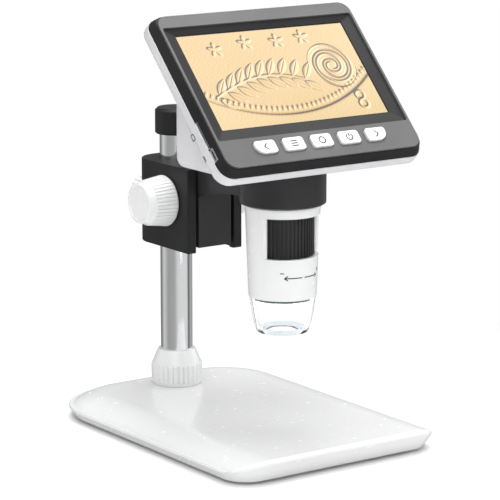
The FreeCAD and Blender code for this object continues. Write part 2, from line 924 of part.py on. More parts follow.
# Pinion: involute teeth, one space facing the rack, on the shaft that carries both knobs.
def involute_angle(radius, base_radius):
    """Polar angle of the involute at a radius, in radians."""
    ratio = math.sqrt((radius / base_radius) ** 2 - 1)
    return ratio - math.atan(ratio)


def pinion_outline(teeth, module, backlash):
    """Closed wire of the gear's section in the YZ plane."""
    pitch = module * teeth / 2
    base_radius = pitch * cosine(size.pressure_angle).number
    tip = pitch + module
    root = pitch - module * size.pinion_dedendum.number
    half_angle = math.pi / 2 / teeth - backlash / pitch + involute_angle(pitch, base_radius)

    def point(radius, angle):
        return FreeCAD.Vector(0, radius * math.cos(angle), radius * math.sin(angle))

    edges = []
    for tooth in range(teeth):
        middle = math.pi + math.pi * (2 * tooth + 1) / teeth
        low = [
            point(radius, middle - half_angle + involute_angle(radius, base_radius))
            for radius in (base_radius, (base_radius + tip) / 2, tip)
        ]
        high = [
            point(radius, middle + half_angle - involute_angle(radius, base_radius))
            for radius in (tip, (base_radius + tip) / 2, base_radius)
        ]
        next_low = middle + 2 * math.pi / teeth - half_angle
        foot_in = point(root, middle - half_angle)
        foot_out = point(root, middle + half_angle)
        edges.append(Part.LineSegment(foot_in, low[0]).toShape())
        edges.append(Part.Arc(*low).toShape())
        edges.append(Part.Arc(low[2], point(tip, middle), high[0]).toShape())
        edges.append(Part.Arc(*high).toShape())
        edges.append(Part.LineSegment(high[2], foot_out).toShape())
        valley = (middle + half_angle + next_low) / 2
        edges.append(Part.Arc(foot_out, point(root, valley), point(root, next_low)).toShape())
    return Part.Wire(edges)


pinion_wire = pinion_outline(
    int(size.pinion_teeth.number), size.rack_module.number, size.mesh_backlash.number
)
gear_length = size.pinion_half_length * 2
gear = Part.Face(pinion_wire).extrude(FreeCAD.Vector(gear_length.number, 0, 0))
pinion_gear = document.addObject("Part::Feature", "pinion_gear")
pinion_gear.Shape = gear
place(pinion_gear, -size.pinion_half_length, shaft_y, size.pinion_height)
knob_inner = size.bracket_half_width + size.knob_gap
shaft_reach = knob_inner + size.shaft_in_knob
shaft = cylinder(
    "pinion_rod", size.shaft_radius, shaft_reach * 2, -shaft_reach, shaft_y, size.pinion_height, "x"
)
keep(fuse("pinion_shaft", [pinion_gear, shaft]))

# Focusing knobs: a fluted taper ending in a smooth cone with a dished face.
knob_slope = (size.knob_inner_radius - size.knob_outer_radius) / size.knob_length


def knob_radius(along):
    """Radius of the knob's cone at a distance from its inner face."""
    return size.knob_inner_radius - knob_slope * along


for side, turn_angle in (("left", -90), ("right", 90)):
    knob = keep(new_body(f"focus_knob_{side}"))
    knob.Placement.Rotation = FreeCAD.Rotation(FreeCAD.Vector(0, 1, 0), turn_angle)
    place(knob, knob_inner if side == "right" else -knob_inner, shaft_y, size.pinion_height)
    knob_sketch = new_sketch(knob, "XZ_Plane", f"knob_profile_{side}")
    grip_foot = size.knob_collar
    grip_end = grip_foot + size.knob_grip_length
    bore = size.shaft_radius + size.press_gap
    bore_end = size.shaft_in_knob + size.turning_gap
    add_polygon(
        knob_sketch,
        [
            (bore, 0),
            (size.knob_inner_radius - size.knob_groove_depth, 0),
            (knob_radius(grip_foot), grip_foot),
            (knob_radius(grip_end), grip_end),
            (knob_radius(grip_end) - size.knob_groove_depth / 2, grip_end),
            (size.knob_outer_radius - size.knob_edge_round, size.knob_length - size.knob_edge_round / 2),
            (size.knob_outer_radius - size.knob_edge_round * 2, size.knob_length),
            (size.knob_dish_radius, size.knob_length),
            (size.knob_dish_radius - size.knob_dish_depth, size.knob_length - size.knob_dish_depth),
            (0, size.knob_length - size.knob_dish_depth),
            (0, bore_end),
            (bore, bore_end),
        ],
    )
    turn(knob, knob_sketch)
    notches = []
    for end, along in (("foot", grip_foot - size.turning_gap), ("end", grip_end + size.turning_gap)):
        notch = new_sketch(knob, "XY_Plane", f"knob_notch_{end}_{side}", along)
        rim = knob_radius(along)
        add_polygon(
            notch,
            [
                (rim - size.knob_groove_depth, 0),
                (rim + size.cutter_overrun, -size.knob_groove_width / 2),
                (rim + size.cutter_overrun, size.knob_groove_width / 2),
            ],
        )
        notches.append(notch)
    flute = knob.newObject("PartDesign::SubtractiveLoft", f"knob_flute_{side}")
    flute.Profile = notches[0]
    flute.Sections = notches[1:]
    flute.Ruled = True
    knob.Tip = flute
    repeat_round(knob, flute, "Z_Axis", size.knob_groove_count)

# Ring arm: the ring holds the head's neck, and the arched arm is bolted to the slider's front.
arm = keep(new_body("ring_arm"))
place(arm, 0, lens_y, 0)
ring_sketch = new_sketch(arm, "XY_Plane", "ring_outline", ring_bottom)
add_circle(ring_sketch, 0, 0, size.ring_radius)
ring_pad = pad(arm, ring_sketch, size.ring_height)
soften(arm, ring_pad, size.ring_edge_round, lambda edge: True)
arm_sketch = new_sketch(arm, "YZ_Plane", "arm_profile")
arm_end = size.column_from_lens - size.bracket_front
arm_start = size.neck_radius + size.arm_root_overlap
arch_points = []
arch_steps = 6
for step in range(arch_steps + 1):
    share = step / arch_steps
    along = arm_start + (arm_end - arm_start) * share
    arch_points.append((along, ring_bottom + size.ring_edge_round - size.arm_arch * share * share))
add_polygon(arm_sketch, arch_points + [(arm_end, arm_top), (arm_start, arm_top)])
pad(arm, arm_sketch, size.slider_half_width * 2, middle=True)
ring_bore = new_sketch(arm, "XY_Plane", "ring_bore", ring_bottom)
add_circle(ring_bore, 0, 0, size.neck_radius + size.bore_clearance)
pocket(arm, ring_bore, size.ring_height, reverse=True)

# Neck: a flanged tube that hangs in the housing's floor and turns in the ring.
barrel_top = ring_bottom - size.turning_gap
flange_seat = wedge_floor + size.housing_wall
neck_bore = size.neck_radius - size.neck_wall
neck = keep(new_body("head_neck"))
place(neck, 0, lens_y, 0)
neck_sketch = new_sketch(neck, "XZ_Plane", "neck_profile")
add_polygon(
    neck_sketch,
    [
        (neck_bore, barrel_top),
        (size.neck_radius, barrel_top),
        (size.neck_radius, flange_seat),
        (size.neck_flange_radius, flange_seat),
        (size.neck_flange_radius, flange_seat + size.neck_flange_height),
        (neck_bore, flange_seat + size.neck_flange_height),
    ],
)
turn(neck, neck_sketch)

# Barrel: tapered shell with a wide window for the focus wheel. The window faces the user.
barrel_foot = barrel_top - size.barrel_length
window_top = barrel_top - size.wheel_window_drop
window_bottom = window_top - size.wheel_window_height
chamber_top = window_top + size.wheel_end_gap
chamber_bottom = window_bottom - size.wheel_end_gap
guide_bore = size.guide_radius + size.bore_clearance
wheel_room = size.wheel_radius + size.wheel_room
barrel = keep(new_body("barrel_shell"))
barrel.Placement.Rotation = FreeCAD.Rotation(FreeCAD.Vector(0, 0, 1), -90)
place(barrel, 0, lens_y, 0)
barrel_sketch = new_sketch(barrel, "XZ_Plane", "barrel_profile")
lip_foot = barrel_top - size.barrel_lip_height
add_polygon(
    barrel_sketch,
    [
        (guide_bore, barrel_top),
        (size.barrel_lip_radius - size.knob_edge_round, barrel_top),
        (size.barrel_lip_radius, barrel_top - size.knob_edge_round),
        (size.barrel_lip_radius, lip_foot),
        (size.barrel_top_radius, lip_foot),
        (size.barrel_foot_radius, barrel_foot),
        (size.barrel_bore_radius, barrel_foot),
        (size.barrel_bore_radius, chamber_bottom),
        (wheel_room, chamber_bottom),
        (wheel_room, chamber_top),
        (guide_bore, chamber_top),
    ],
)
turn(barrel, barrel_sketch)
window_sketch = new_sketch(barrel, "XZ_Plane", "wheel_window")
add_polygon(
    window_sketch,
    [
        (size.wheel_radius, window_bottom),
        (size.barrel_lip_radius + 1, window_bottom),
        (size.barrel_lip_radius + 1, window_top),
        (size.wheel_radius, window_top),
    ],
)
window_cut = turn(barrel, window_sketch, cut=True)
window_cut.Midplane = True
bind(window_cut, "Angle", size.wheel_window_angle)
half_window = math.radians(size.wheel_window_angle.number / 2)
jamb_radius = size.barrel_foot_radius.number
soften(
    barrel,
    window_cut,
    size.wheel_window_bevel,
    lambda edge: isinstance(edge.Curve, Part.Line)
    and abs(abs(math.atan2(edge.CenterOfMass.y, edge.CenterOfMass.x)) - half_window) < SAME_PLACE
    and math.hypot(edge.CenterOfMass.x, edge.CenterOfMass.y) > jamb_radius
    and abs(edge.BoundBox.ZLength - size.wheel_window_height.number) < SAME_PLACE,
    "PartDesign::Chamfer",
)

# Guide tube with a straight slot, and the lens carrier whose pin rides in it.
guide = keep(new_body("guide_tube"))
guide.Placement.Rotation = FreeCAD.Rotation(FreeCAD.Vector(0, 0, 1), -90)
place(guide, 0, lens_y, 0)
guide_sketch = new_sketch(guide, "XZ_Plane", "guide_profile")
guide_inner = size.guide_radius - size.guide_wall
add_polygon(
    guide_sketch,
    [
        (guide_inner, barrel_foot),
        (size.guide_radius, barrel_foot),
        (size.guide_radius, barrel_top),
        (neck_bore - size.bore_clearance, barrel_top),
        (neck_bore - size.bore_clearance, barrel_top + size.guide_wall),
        (guide_inner, barrel_top + size.guide_wall),
    ],
)
turn(guide, guide_sketch)
carrier_bottom = barrel_foot + size.carrier_rise
carrier_top = carrier_bottom + size.carrier_length
pin_level = carrier_top - size.carrier_pin_drop
slot_reach = size.lens_travel + size.guide_slot_width / 2 + size.guide_slot_spare
slot_sketch = new_sketch(guide, "YZ_Plane", "guide_slot")
slot_side = size.guide_slot_width / 2
add_polygon(
    slot_sketch,
    [
        (-slot_side, pin_level - slot_reach),
        (slot_side, pin_level - slot_reach),
        (slot_side, pin_level + slot_reach),
        (-slot_side, pin_level + slot_reach),
    ],
)
pocket(guide, slot_sketch, size.guide_radius + 1, reverse=True)
carrier = keep(new_body("lens_carrier"))
carrier.Placement.Rotation = FreeCAD.Rotation(FreeCAD.Vector(0, 0, 1), -90)
place(carrier, 0, lens_y, 0)
carrier_radius = guide_inner - size.bore_clearance
carrier_inner = carrier_radius - size.carrier_wall
carrier_sketch = new_sketch(carrier, "XY_Plane", "carrier_ring", carrier_bottom)
add_circle(carrier_sketch, 0, 0, carrier_radius)
add_circle(carrier_sketch, 0, 0, carrier_inner)
pad(carrier, carrier_sketch, size.carrier_length)
pin_sketch = new_sketch(carrier, "YZ_Plane", "carrier_pin", carrier_inner)
add_circle(pin_sketch, 0, pin_level, size.pin_radius)
pad(carrier, pin_sketch, size.guide_radius - carrier_inner - size.pin_end_gap)


def add_lens(label, thickness, level):
    """Thin glass with a shallow cone on each side, seated in the carrier."""
    lens = keep(new_body(label))
    place(lens, 0, lens_y, level)
    sketch = new_sketch(lens, "XZ_Plane", label + "_profile")
    edge_low = size.lens_bulge / 2
    add_polygon(
        sketch,
        [
            (0, 0),
            (carrier_inner * size.lens_centre_share, size.lens_centre_drop),
            (carrier_inner, edge_low),
            (carrier_inner, thickness - edge_low),
            (carrier_inner * size.lens_centre_share, thickness - size.lens_centre_drop),
            (0, thickness),
        ],
    )
    turn(lens, sketch)


add_lens("front_lens", size.front_lens_thickness, carrier_bottom + size.lens_seat)
add_lens("rear_lens", size.rear_lens_thickness, carrier_top - size.rear_lens_thickness - size.lens_seat)

# Focus wheel: a ribbed ring round the guide tube, seen through the barrel's window.
wheel = keep(new_body("focus_wheel"))
wheel_bottom = chamber_bottom + size.wheel_end_gap / 2
wheel_height = chamber_top - chamber_bottom - size.wheel_end_gap
place(wheel, 0, lens_y, wheel_bottom)
wheel_sketch = new_sketch(wheel, "XZ_Plane", "wheel_profile")
add_polygon(
    wheel_sketch,
    [
        (guide_bore, 0),
        (size.wheel_radius - size.wheel_rib_depth, 0),
        (size.wheel_radius, size.wheel_rib_depth),
        (size.wheel_radius, wheel_height - size.wheel_rib_depth),
        (size.wheel_radius - size.wheel_rib_depth, wheel_height),
        (guide_bore, wheel_height),
    ],
)
turn(wheel, wheel_sketch)
rib_gap = new_sketch(wheel, "XY_Plane", "wheel_rib_gap")
gap_floor = size.wheel_radius - size.wheel_rib_depth
add_polygon(
    rib_gap,
    [
        (gap_floor, -size.wheel_rib_width / 2),
        (size.wheel_radius + size.cutter_overrun, -size.wheel_rib_width / 2 - size.cutter_overrun),
        (size.wheel_radius + size.cutter_overrun, size.wheel_rib_width / 2 + size.cutter_overrun),
        (gap_floor, size.wheel_rib_width / 2),
    ],
)
repeat_round(wheel, pocket(wheel, rib_gap, wheel_height, reverse=True), "Z_Axis", size.wheel_rib_count)

# Lamp ring: a round board under the barrel with a circle of lamp packages.
lamp_board_radius = size.cover_top_radius - size.cover_wall - size.lamp_board_gap
lamp_board_bottom = barrel_foot - size.lamp_board_thickness
lamp_board = keep(new_body("lamp_board"))
place(lamp_board, 0, lens_y, lamp_board_bottom)
lamp_board_sketch = new_sketch(lamp_board, "XY_Plane", "lamp_board_outline")
add_circle(lamp_board_sketch, 0, 0, lamp_board_radius)
add_circle(lamp_board_sketch, 0, 0, guide_inner + size.lamp_board_step)
pad(lamp_board, lamp_board_sketch, size.lamp_board_thickness)
lamp_circle = (lamp_board_radius + guide_inner) / 2
lamps = []
lamp_count = int(size.lamp_count.number)
for number in range(lamp_count):
    turn_angle = 360.0 * number / lamp_count
    direction = FreeCAD.Rotation(FreeCAD.Vector(0, 0, 1), turn_angle)
    corner = direction.multVec(
        FreeCAD.Vector((lamp_circle - size.lamp_size / 2).number, -size.lamp_size.number / 2, 0)
    )
    lamp = box(
        f"lamp_{number + 1}",
        (corner.x, lens_y + corner.y, lamp_board_bottom - size.lamp_height),
        (size.lamp_size, size.lamp_size, size.lamp_height),
    )
    lamp.Placement.Rotation = direction
    lamps.append(lamp)
keep(group("lamp_ring", lamps))

# Clear cover: a thick open-mouthed cup that guides the light and shields the lens.
cover = keep(new_body("clear_cover"))
place(cover, 0, lens_y, barrel_foot - size.cover_length)
cover_sketch = new_sketch(cover, "XZ_Plane", "cover_profile")
add_polygon(
    cover_sketch,
    [
        (size.cover_mouth_radius, 0),
        (size.cover_tip_radius - size.cover_rim_bevel, 0),
        (size.cover_tip_radius, size.cover_rim_rise),
        ((size.cover_tip_radius + size.cover_foot_radius * 2) / 3, size.cover_tip_length / 2),
        (size.cover_foot_radius, size.cover_tip_length),
        (size.cover_top_radius, size.cover_length),
        (size.cover_top_radius - size.cover_wall, size.cover_length),
        (size.cover_foot_radius - size.cover_wall, size.cover_tip_length),
        (size.cover_tip_radius - size.cover_wall, size.cover_floor),
        (size.cover_mouth_radius, size.cover_floor),
    ],
)
turn(cover, cover_sketch)

# Display head: pieces below are drawn with the screen flat, then tilted about its centre.
tilt = size.screen_tilt


def tilt_to_display(item):
    item.Placement.Rotation = FreeCAD.Rotation(FreeCAD.Vector(1, 0, 0), tilt.number)
    return place(item, 0, lens_y, size.display_height)


def flat_box(label, low, high):
    """Block between two corners of the display's frame: across, up the screen, out of it."""
    item = document.addObject("Part::Box", label)
    item.Label = label
    for field, start, end in zip(("Length", "Width", "Height"), low, high):
        bind(item, field, as_size(end) - start)
    item.Placement.Rotation = FreeCAD.Rotation(FreeCAD.Vector(1, 0, 0), tilt.number)
    across, up, out = (as_size(value) for value in low)
    return place(
        item,
        across,
        lens_y + up * cosine(tilt) - out * sine(tilt),
        size.display_height + up * sine(tilt) + out * cosine(tilt),
    )


screen_half = size.display_width / 2
screen_tall_half = size.display_tall / 2
module_half = screen_half + size.panel_border
module_tall_half = screen_tall_half + size.panel_border
head_half = module_half + size.head_side
head_up = module_tall_half + size.head_above
head_down = module_tall_half + size.head_below
window_half = screen_half + size.window_side
window_up = screen_tall_half + size.window_above
window_down = screen_tall_half + size.window_below
button_row = window_down + size.button_row_drop
face_level = size.bezel_rise + size.face_thickness
bezel_inset = (size.bezel_depth + size.bezel_rise) * tangent(size.bezel_slope) + size.face_margin
face_half = head_half - bezel_inset
face_up = head_up - bezel_inset
face_down = head_down - bezel_inset
button_middles = [size.button_pitch * place_number for place_number in (-2, -1, 0, 1, 2)]
button_low = -button_row - size.button_tall / 2
button_high = -button_row + size.button_tall / 2


def add_button_boxes(sketch, grow):
    """The five button outlines, wider all round by the given gap."""
    for middle in button_middles:
        add_polygon(
            sketch,
            [
                (middle - size.button_width / 2 - grow, button_low - grow),
                (middle + size.button_width / 2 + grow, button_low - grow),
                (middle + size.button_width / 2 + grow, button_high + grow),
                (middle - size.button_width / 2 - grow, button_high + grow),
            ],
        )


def is_end_corner(edge, grow):
    """True for the outer lower corner of the first and last button."""
    reach = (size.button_pitch * 2 + size.button_width / 2 + grow).number
    middle = edge.CenterOfMass
    low = (button_low - grow).number
    return abs(abs(middle.x) - reach) < SAME_PLACE and abs(middle.y - low) < SAME_PLACE


def is_button_corner(edge):
    middle = edge.CenterOfMass
    return runs_along(edge, "z") and abs(middle.y + button_row.number) < size.button_tall.number


def round_button_corners(body, feature, grow):
    """Wide rounding on the outer lower corner of the end holes, small rounding on the rest."""
    ends = soften(
        body,
        feature,
        size.button_end_corner + grow,
        lambda edge: runs_along(edge, "z") and is_end_corner(edge, grow),
    )
    wide = (size.button_end_corner + grow).number + SAME_PLACE
    wide_x = (size.button_pitch * 2 + size.button_width / 2 + grow).number - wide
    wide_y = (button_low - grow).number + wide

    def is_small_corner(edge):
        middle = edge.CenterOfMass
        return is_button_corner(edge) and not (abs(middle.x) > wide_x and middle.y < wide_y)

    return soften(body, ends, size.button_corner + grow, is_small_corner)


# Front bezel: black frame with slanted sides and a sunken mask round the screen.
bezel = keep(new_body("front_bezel"))
tilt_to_display(bezel)
bezel_sketch = new_sketch(bezel, "XY_Plane", "bezel_outline", -size.bezel_depth)
add_rounded_box(
    bezel_sketch,
    -head_half,
    head_half,
    -head_down,
    head_up,
    size.head_corner,
)
pad(bezel, bezel_sketch, size.bezel_depth + size.bezel_rise, taper=-size.bezel_slope)
inside_sketch = new_sketch(bezel, "XY_Plane", "bezel_inside", -size.bezel_depth)
inside_half = head_half - size.bezel_wall
inside_up = head_up - size.bezel_wall
inside_down = head_down - size.bezel_wall
inside_corner = size.head_corner - size.bezel_wall
add_rounded_box(inside_sketch, -inside_half, inside_half, -inside_down, inside_up, inside_corner)
pocket(bezel, inside_sketch, size.bezel_depth, reverse=True)
opening_sketch = new_sketch(bezel, "XY_Plane", "bezel_opening")
add_rounded_box(
    opening_sketch,
    -screen_half - size.mask_border,
    screen_half + size.mask_border,
    -screen_tall_half - size.mask_border,
    screen_tall_half + size.mask_border,
    size.mask_border,
)
pocket(bezel, opening_sketch, size.bezel_rise, reverse=True)
funnel = []
for name, level, reach_x, reach_up, reach_down, corner in (
    ("low", size.mask_depth, screen_half + size.mask_border, screen_tall_half + size.mask_border,
     screen_tall_half + size.mask_border, size.mask_border),
    ("high", size.bezel_rise, window_half, window_up, window_down, size.window_corner),
):
    funnel_sketch = new_sketch(bezel, "XY_Plane", f"mask_{name}", level)
    add_rounded_box(funnel_sketch, -reach_x, reach_x, -reach_down, reach_up, corner)
    funnel.append(funnel_sketch)
mask = bezel.newObject("PartDesign::SubtractiveLoft", "mask_slope")
mask.Profile = funnel[0]
mask.Sections = funnel[1:]
mask.Ruled = True
bezel.Tip = mask
hole_sketch = new_sketch(bezel, "XY_Plane", "bezel_button_holes")
add_button_boxes(hole_sketch, size.button_gap)
bezel_holes = pocket(bezel, hole_sketch, size.bezel_rise, reverse=True)
round_button_corners(bezel, bezel_holes, size.button_gap)
side_notches = new_sketch(bezel, "YZ_Plane", "side_notches", -head_half - 1)
mouth_gap = size.base_plate_gap / 2
card_low = -size.bezel_depth
card_high = card_low + size.card_slot_tall
port_low = card_low + size.button_gap
port_high = port_low + size.port_tall
card_middle = size.card_slot_rise - module_tall_half
port_middle = -module_tall_half - size.port_drop
for middle, length, high in (
    (card_middle, size.card_slot_length, card_high),
    (port_middle, size.port_length, port_high),
):
    add_polygon(
        side_notches,
        [
            (middle - length / 2 - mouth_gap, card_low - 1),
            (middle + length / 2 + mouth_gap, card_low - 1),
            (middle + length / 2 + mouth_gap, high + mouth_gap),
            (middle - length / 2 - mouth_gap, high + mouth_gap),
        ],
    )
pocket(bezel, side_notches, size.bezel_wall + 2, reverse=True)

# Face panel: grey plate over the bezel, with the screen's window and the button holes.
panel = keep(new_body("face_panel"))
tilt_to_display(panel)
panel_sketch = new_sketch(panel, "XY_Plane", "face_outline", size.bezel_rise)
face_corner = size.head_corner - bezel_inset / 2
add_rounded_box(panel_sketch, -face_half, face_half, -face_down, face_up, face_corner)
pad(panel, panel_sketch, size.face_thickness)
window_cutout = new_sketch(panel, "XY_Plane", "face_window", size.bezel_rise)
add_rounded_box(
    window_cutout,
    -window_half,
    window_half,
    -window_down,
    window_up,
    size.window_corner,
)
pocket(panel, window_cutout, size.face_thickness, reverse=True)
face_hole_sketch = new_sketch(panel, "XY_Plane", "face_button_holes", size.bezel_rise)
add_button_boxes(face_hole_sketch, size.button_gap)
face_holes = pocket(panel, face_hole_sketch, size.face_thickness, reverse=True)
round_button_corners(panel, face_holes, size.button_gap)

# Display module, boards and battery: a stack behind the bezel.
board_front = -size.panel_thickness
board_back = board_front - size.board_thickness
keep(
    flat_box(
        "display_module",
        (-module_half, -module_tall_half, board_front),
        (module_half, module_tall_half, 0),
    )
)
board_side = inside_half - size.board_margin
keep(
    flat_box(
        "main_board",
        (-board_side, size.board_margin - inside_down, board_back),
        (board_side, inside_up - size.board_margin, board_front),
    )
)
keep(
    flat_box(
        "battery",
        (-size.battery_width / 2, -size.battery_tall / 2, board_back - size.battery_thickness),
        (size.battery_width / 2, size.battery_tall / 2, board_back),
    )
)
# Card socket and power socket: bodies on the board with their mouths in the bezel's left side.
mouth_out = size.socket_reach - head_half
socket_side = size.bezel_depth * tangent(size.bezel_slope) - head_half + size.bezel_wall
card_depth = -module_half - socket_side
for label, middle, length, low, high, depth in (
    ("card_socket", card_middle, size.card_slot_length, card_low, card_high, card_depth),
    ("power_socket", port_middle, size.port_length, port_low, port_high, size.socket_depth),
):
    inner = flat_box(
        label + "_body",
        (socket_side, middle - length / 2, board_front),
        (socket_side + depth - mouth_gap, middle + length / 2, high),
    )
    mouth = flat_box(
        label + "_mouth",
        (mouth_out, middle - length / 2, low + mouth_gap),
        (socket_side, middle + length / 2, high),
    )
    slit_half = (high - low - mouth_gap) / 4
    slit_middle = (high + low + mouth_gap) / 2
    slit = flat_box(
        label + "_slit",
        (mouth_out - 1, middle - length / 2 + slit_half * 2, slit_middle - slit_half),
        (socket_side + 1, middle + length / 2 - slit_half * 2, slit_middle + slit_half),
    )
    keep(cut(label, fuse(label + "_form", [inner, mouth]), [slit]))
key_board_front = board_front + size.board_thickness
key_board = flat_box(
    "key_board_plate",
    (button_middles[0] - size.button_width / 2, size.board_margin - inside_down, board_front),
    (button_middles[4] + size.button_width / 2, -module_tall_half - 1, key_board_front),
)
switches = [
    flat_box(
        f"switch_{number}",
        (middle - size.switch_size / 2, -button_row - size.switch_size / 2, key_board_front),
        (
            middle + size.switch_size / 2,
            size.switch_size / 2 - button_row,
            key_board_front + size.switch_height,
        ),
    )
    for number, middle in enumerate(button_middles, start=1)
]
keep(fuse("button_board", [key_board] + switches))

# Buttons: rounded keys on flanges that catch behind the bezel. The end keys have one wide corner.
button_names = ["left", "menu", "confirm", "power", "right"]
stem_level = key_board_front + size.switch_height + size.button_travel + size.press_gap
flange_top = -size.button_flange_gap
for name, middle in zip(button_names, button_middles):
    key = keep(new_body(f"button_{name}"))
    tilt_to_display(key)
    key_sketch = new_sketch(key, "XY_Plane", f"key_outline_{name}", flange_top)
    left = middle - size.button_width / 2
    right = middle + size.button_width / 2
    key_corners = [(left, button_low), (right, button_low), (right, button_high), (left, button_high)]
    add_polygon(key_sketch, key_corners)
    key_pad = pad(key, key_sketch, face_level + size.button_proud - flange_top)
    wide_x = {"left": left, "right": right}.get(name)
    small_corners = soften(
        key,
        key_pad,
        size.button_corner,
        lambda edge: runs_along(edge, "z")
        and not (wide_x is not None and edge_at(edge, x=wide_x, y=button_low)),
    )
    tip = small_corners
    if wide_x is not None:
        tip = soften(
            key,
            small_corners,
            size.button_end_corner,
            lambda edge: runs_along(edge, "z") and edge_at(edge, x=wide_x, y=button_low),
        )
    key_top = (face_level + size.button_proud).number
    soften(key, tip, size.button_gap, lambda edge: abs(edge.BoundBox.ZMin - key_top) < SAME_PLACE)
    flange_sketch = new_sketch(key, "XY_Plane", f"key_flange_{name}", flange_top)
    grow = size.button_flange
    add_rounded_box(
        flange_sketch, left - grow, right + grow, button_low - grow, button_high + grow, size.button_corner
    )
    pad(key, flange_sketch, size.button_flange_height, reverse=True)
    stem_sketch = new_sketch(key, "XY_Plane", f"key_stem_{name}", flange_top)
    add_circle(stem_sketch, middle, -button_row, size.button_stem_radius)
    pad(key, stem_sketch, flange_top - stem_level, reverse=True)

# Rear housing: rim behind the bezel and a wedge with an upright back and a level floor.
rim = new_body("housing_rim")
tilt_to_display(rim)
housing_rim_sketch = new_sketch(rim, "XY_Plane", "housing_rim_outline", -size.bezel_depth)
outset = size.rim_outset
add_rounded_box(
    housing_rim_sketch,
    -head_half - outset,
    head_half + outset,
    -head_down - outset,
    head_up + outset,
    size.head_corner + outset,
)
rim_pad = pad(rim, housing_rim_sketch, size.rim_depth, reverse=True)
rim_back = -size.bezel_depth - size.rim_depth
soften(rim, rim_pad, size.rim_round, lambda edge: edge_at(edge, z=rim_back))


def wedge_outline(sketch, wall, depth):
    """Side profile of the wedge, moved inwards by a wall, up to a plane behind the screen."""
    back = size.wedge_back - wall
    floor = wedge_floor + wall
    plane_y = -depth * sine(tilt)
    plane_z = size.display_height + depth * cosine(tilt)
    back_top = plane_z + (back - plane_y) * tangent(tilt)
    floor_front = plane_y + (floor - plane_z) / tangent(tilt)
    return add_polygon(sketch, [(floor_front, floor), (back, floor), (back, back_top)])


wedge = new_body("housing_wedge")
place(wedge, 0, lens_y, 0)
wedge_sketch = new_sketch(wedge, "YZ_Plane", "wedge_profile")
wedge_outline(wedge_sketch, as_size(0), rim_back + size.housing_wall)
wedge_pad = pad(wedge, wedge_sketch, size.wedge_half_width * 2, middle=True)
back_round = soften(
    wedge,
    wedge_pad,
    size.wedge_back_round,
    lambda edge: runs_along(edge, "x") and edge_at(edge, y=size.wedge_back, z=wedge_floor),
)
wedge_side = size.wedge_half_width.number
slab_edge = rim_back + size.housing_wall


def on_wedge_flank(edge):
    """True for an edge of the flat flanks that isn't on the rim's side."""
    middle = edge.CenterOfMass
    if abs(abs(middle.x) - wedge_side) > SAME_PLACE or edge.BoundBox.XLength > SAME_PLACE:
        return False
    out = (middle.z - size.display_height.number) * cosine(tilt).number - middle.y * sine(tilt).number
    return out < slab_edge.number - SAME_PLACE


soften(wedge, back_round, size.wedge_side_round, on_wedge_flank)
housing_form = fuse("housing_form", [rim, wedge])
rim_hollow = new_body("rim_hollow")
tilt_to_display(rim_hollow)
hollow_sketch = new_sketch(rim_hollow, "XY_Plane", "rim_hollow_outline", -size.bezel_depth)
add_rounded_box(hollow_sketch, -inside_half, inside_half, -inside_down, inside_up, inside_corner)
pad(rim_hollow, hollow_sketch, size.rim_depth - size.housing_wall, reverse=True)
wedge_hollow = new_body("wedge_hollow")
place(wedge_hollow, 0, lens_y, 0)
wedge_hollow_sketch = new_sketch(wedge_hollow, "YZ_Plane", "wedge_hollow_profile")
wedge_outline(wedge_hollow_sketch, size.housing_wall, -size.bezel_depth - 1)
pad(wedge_hollow, wedge_hollow_sketch, (size.wedge_half_width - size.housing_wall) * 2, middle=True)
inner_box = flat_box(
    "hollow_limit",
    (-inside_half, -inside_down, rim_back - size.display_height / 2),
    (inside_half, inside_up, -size.bezel_depth),
)
hollow = common("housing_hollow", [fuse("housing_hollows", [rim_hollow, wedge_hollow]), inner_box])
neck_hole = cylinder(
    "neck_hole", size.neck_radius + size.bore_clearance, size.housing_wall + 2, 0, lens_y, wedge_floor - 1
)
keep(cut("rear_housing", housing_form, [hollow, neck_hole]))

# Image sensor on its board over the neck's flange.
sensor_seat = flange_seat + size.neck_flange_height
sensor_board = box(
    "sensor_board_plate",
    (-neck_bore - 1, lens_y - neck_bore - 1, sensor_seat),
    ((neck_bore + 1) * 2, (neck_bore + 1) * 2, size.board_thickness),
)
sensor_chip = box(
    "sensor_chip",
    (-size.switch_size, lens_y - size.switch_size, sensor_seat - size.board_thickness),
    (size.switch_size * 2, size.switch_size * 2, size.board_thickness),
)
keep(fuse("sensor_board", [sensor_board, sensor_chip]))

# Check every object and write one file for each sub-part.
document.recompute()
for item in document.Objects:
    if "Invalid" in item.State or "Error" in item.State:
        raise RuntimeError(f"{item.Label} failed: {item.State}")
for item in sub_parts:
    if item.Shape.isNull() or not item.Shape.isValid():
        raise RuntimeError(f"{item.Label} has no valid shape")
for item in sub_parts:
    item.Shape.exportStep(f"parts/{item.Label}.step")
print(f"{len(sub_parts)} sub-parts written")
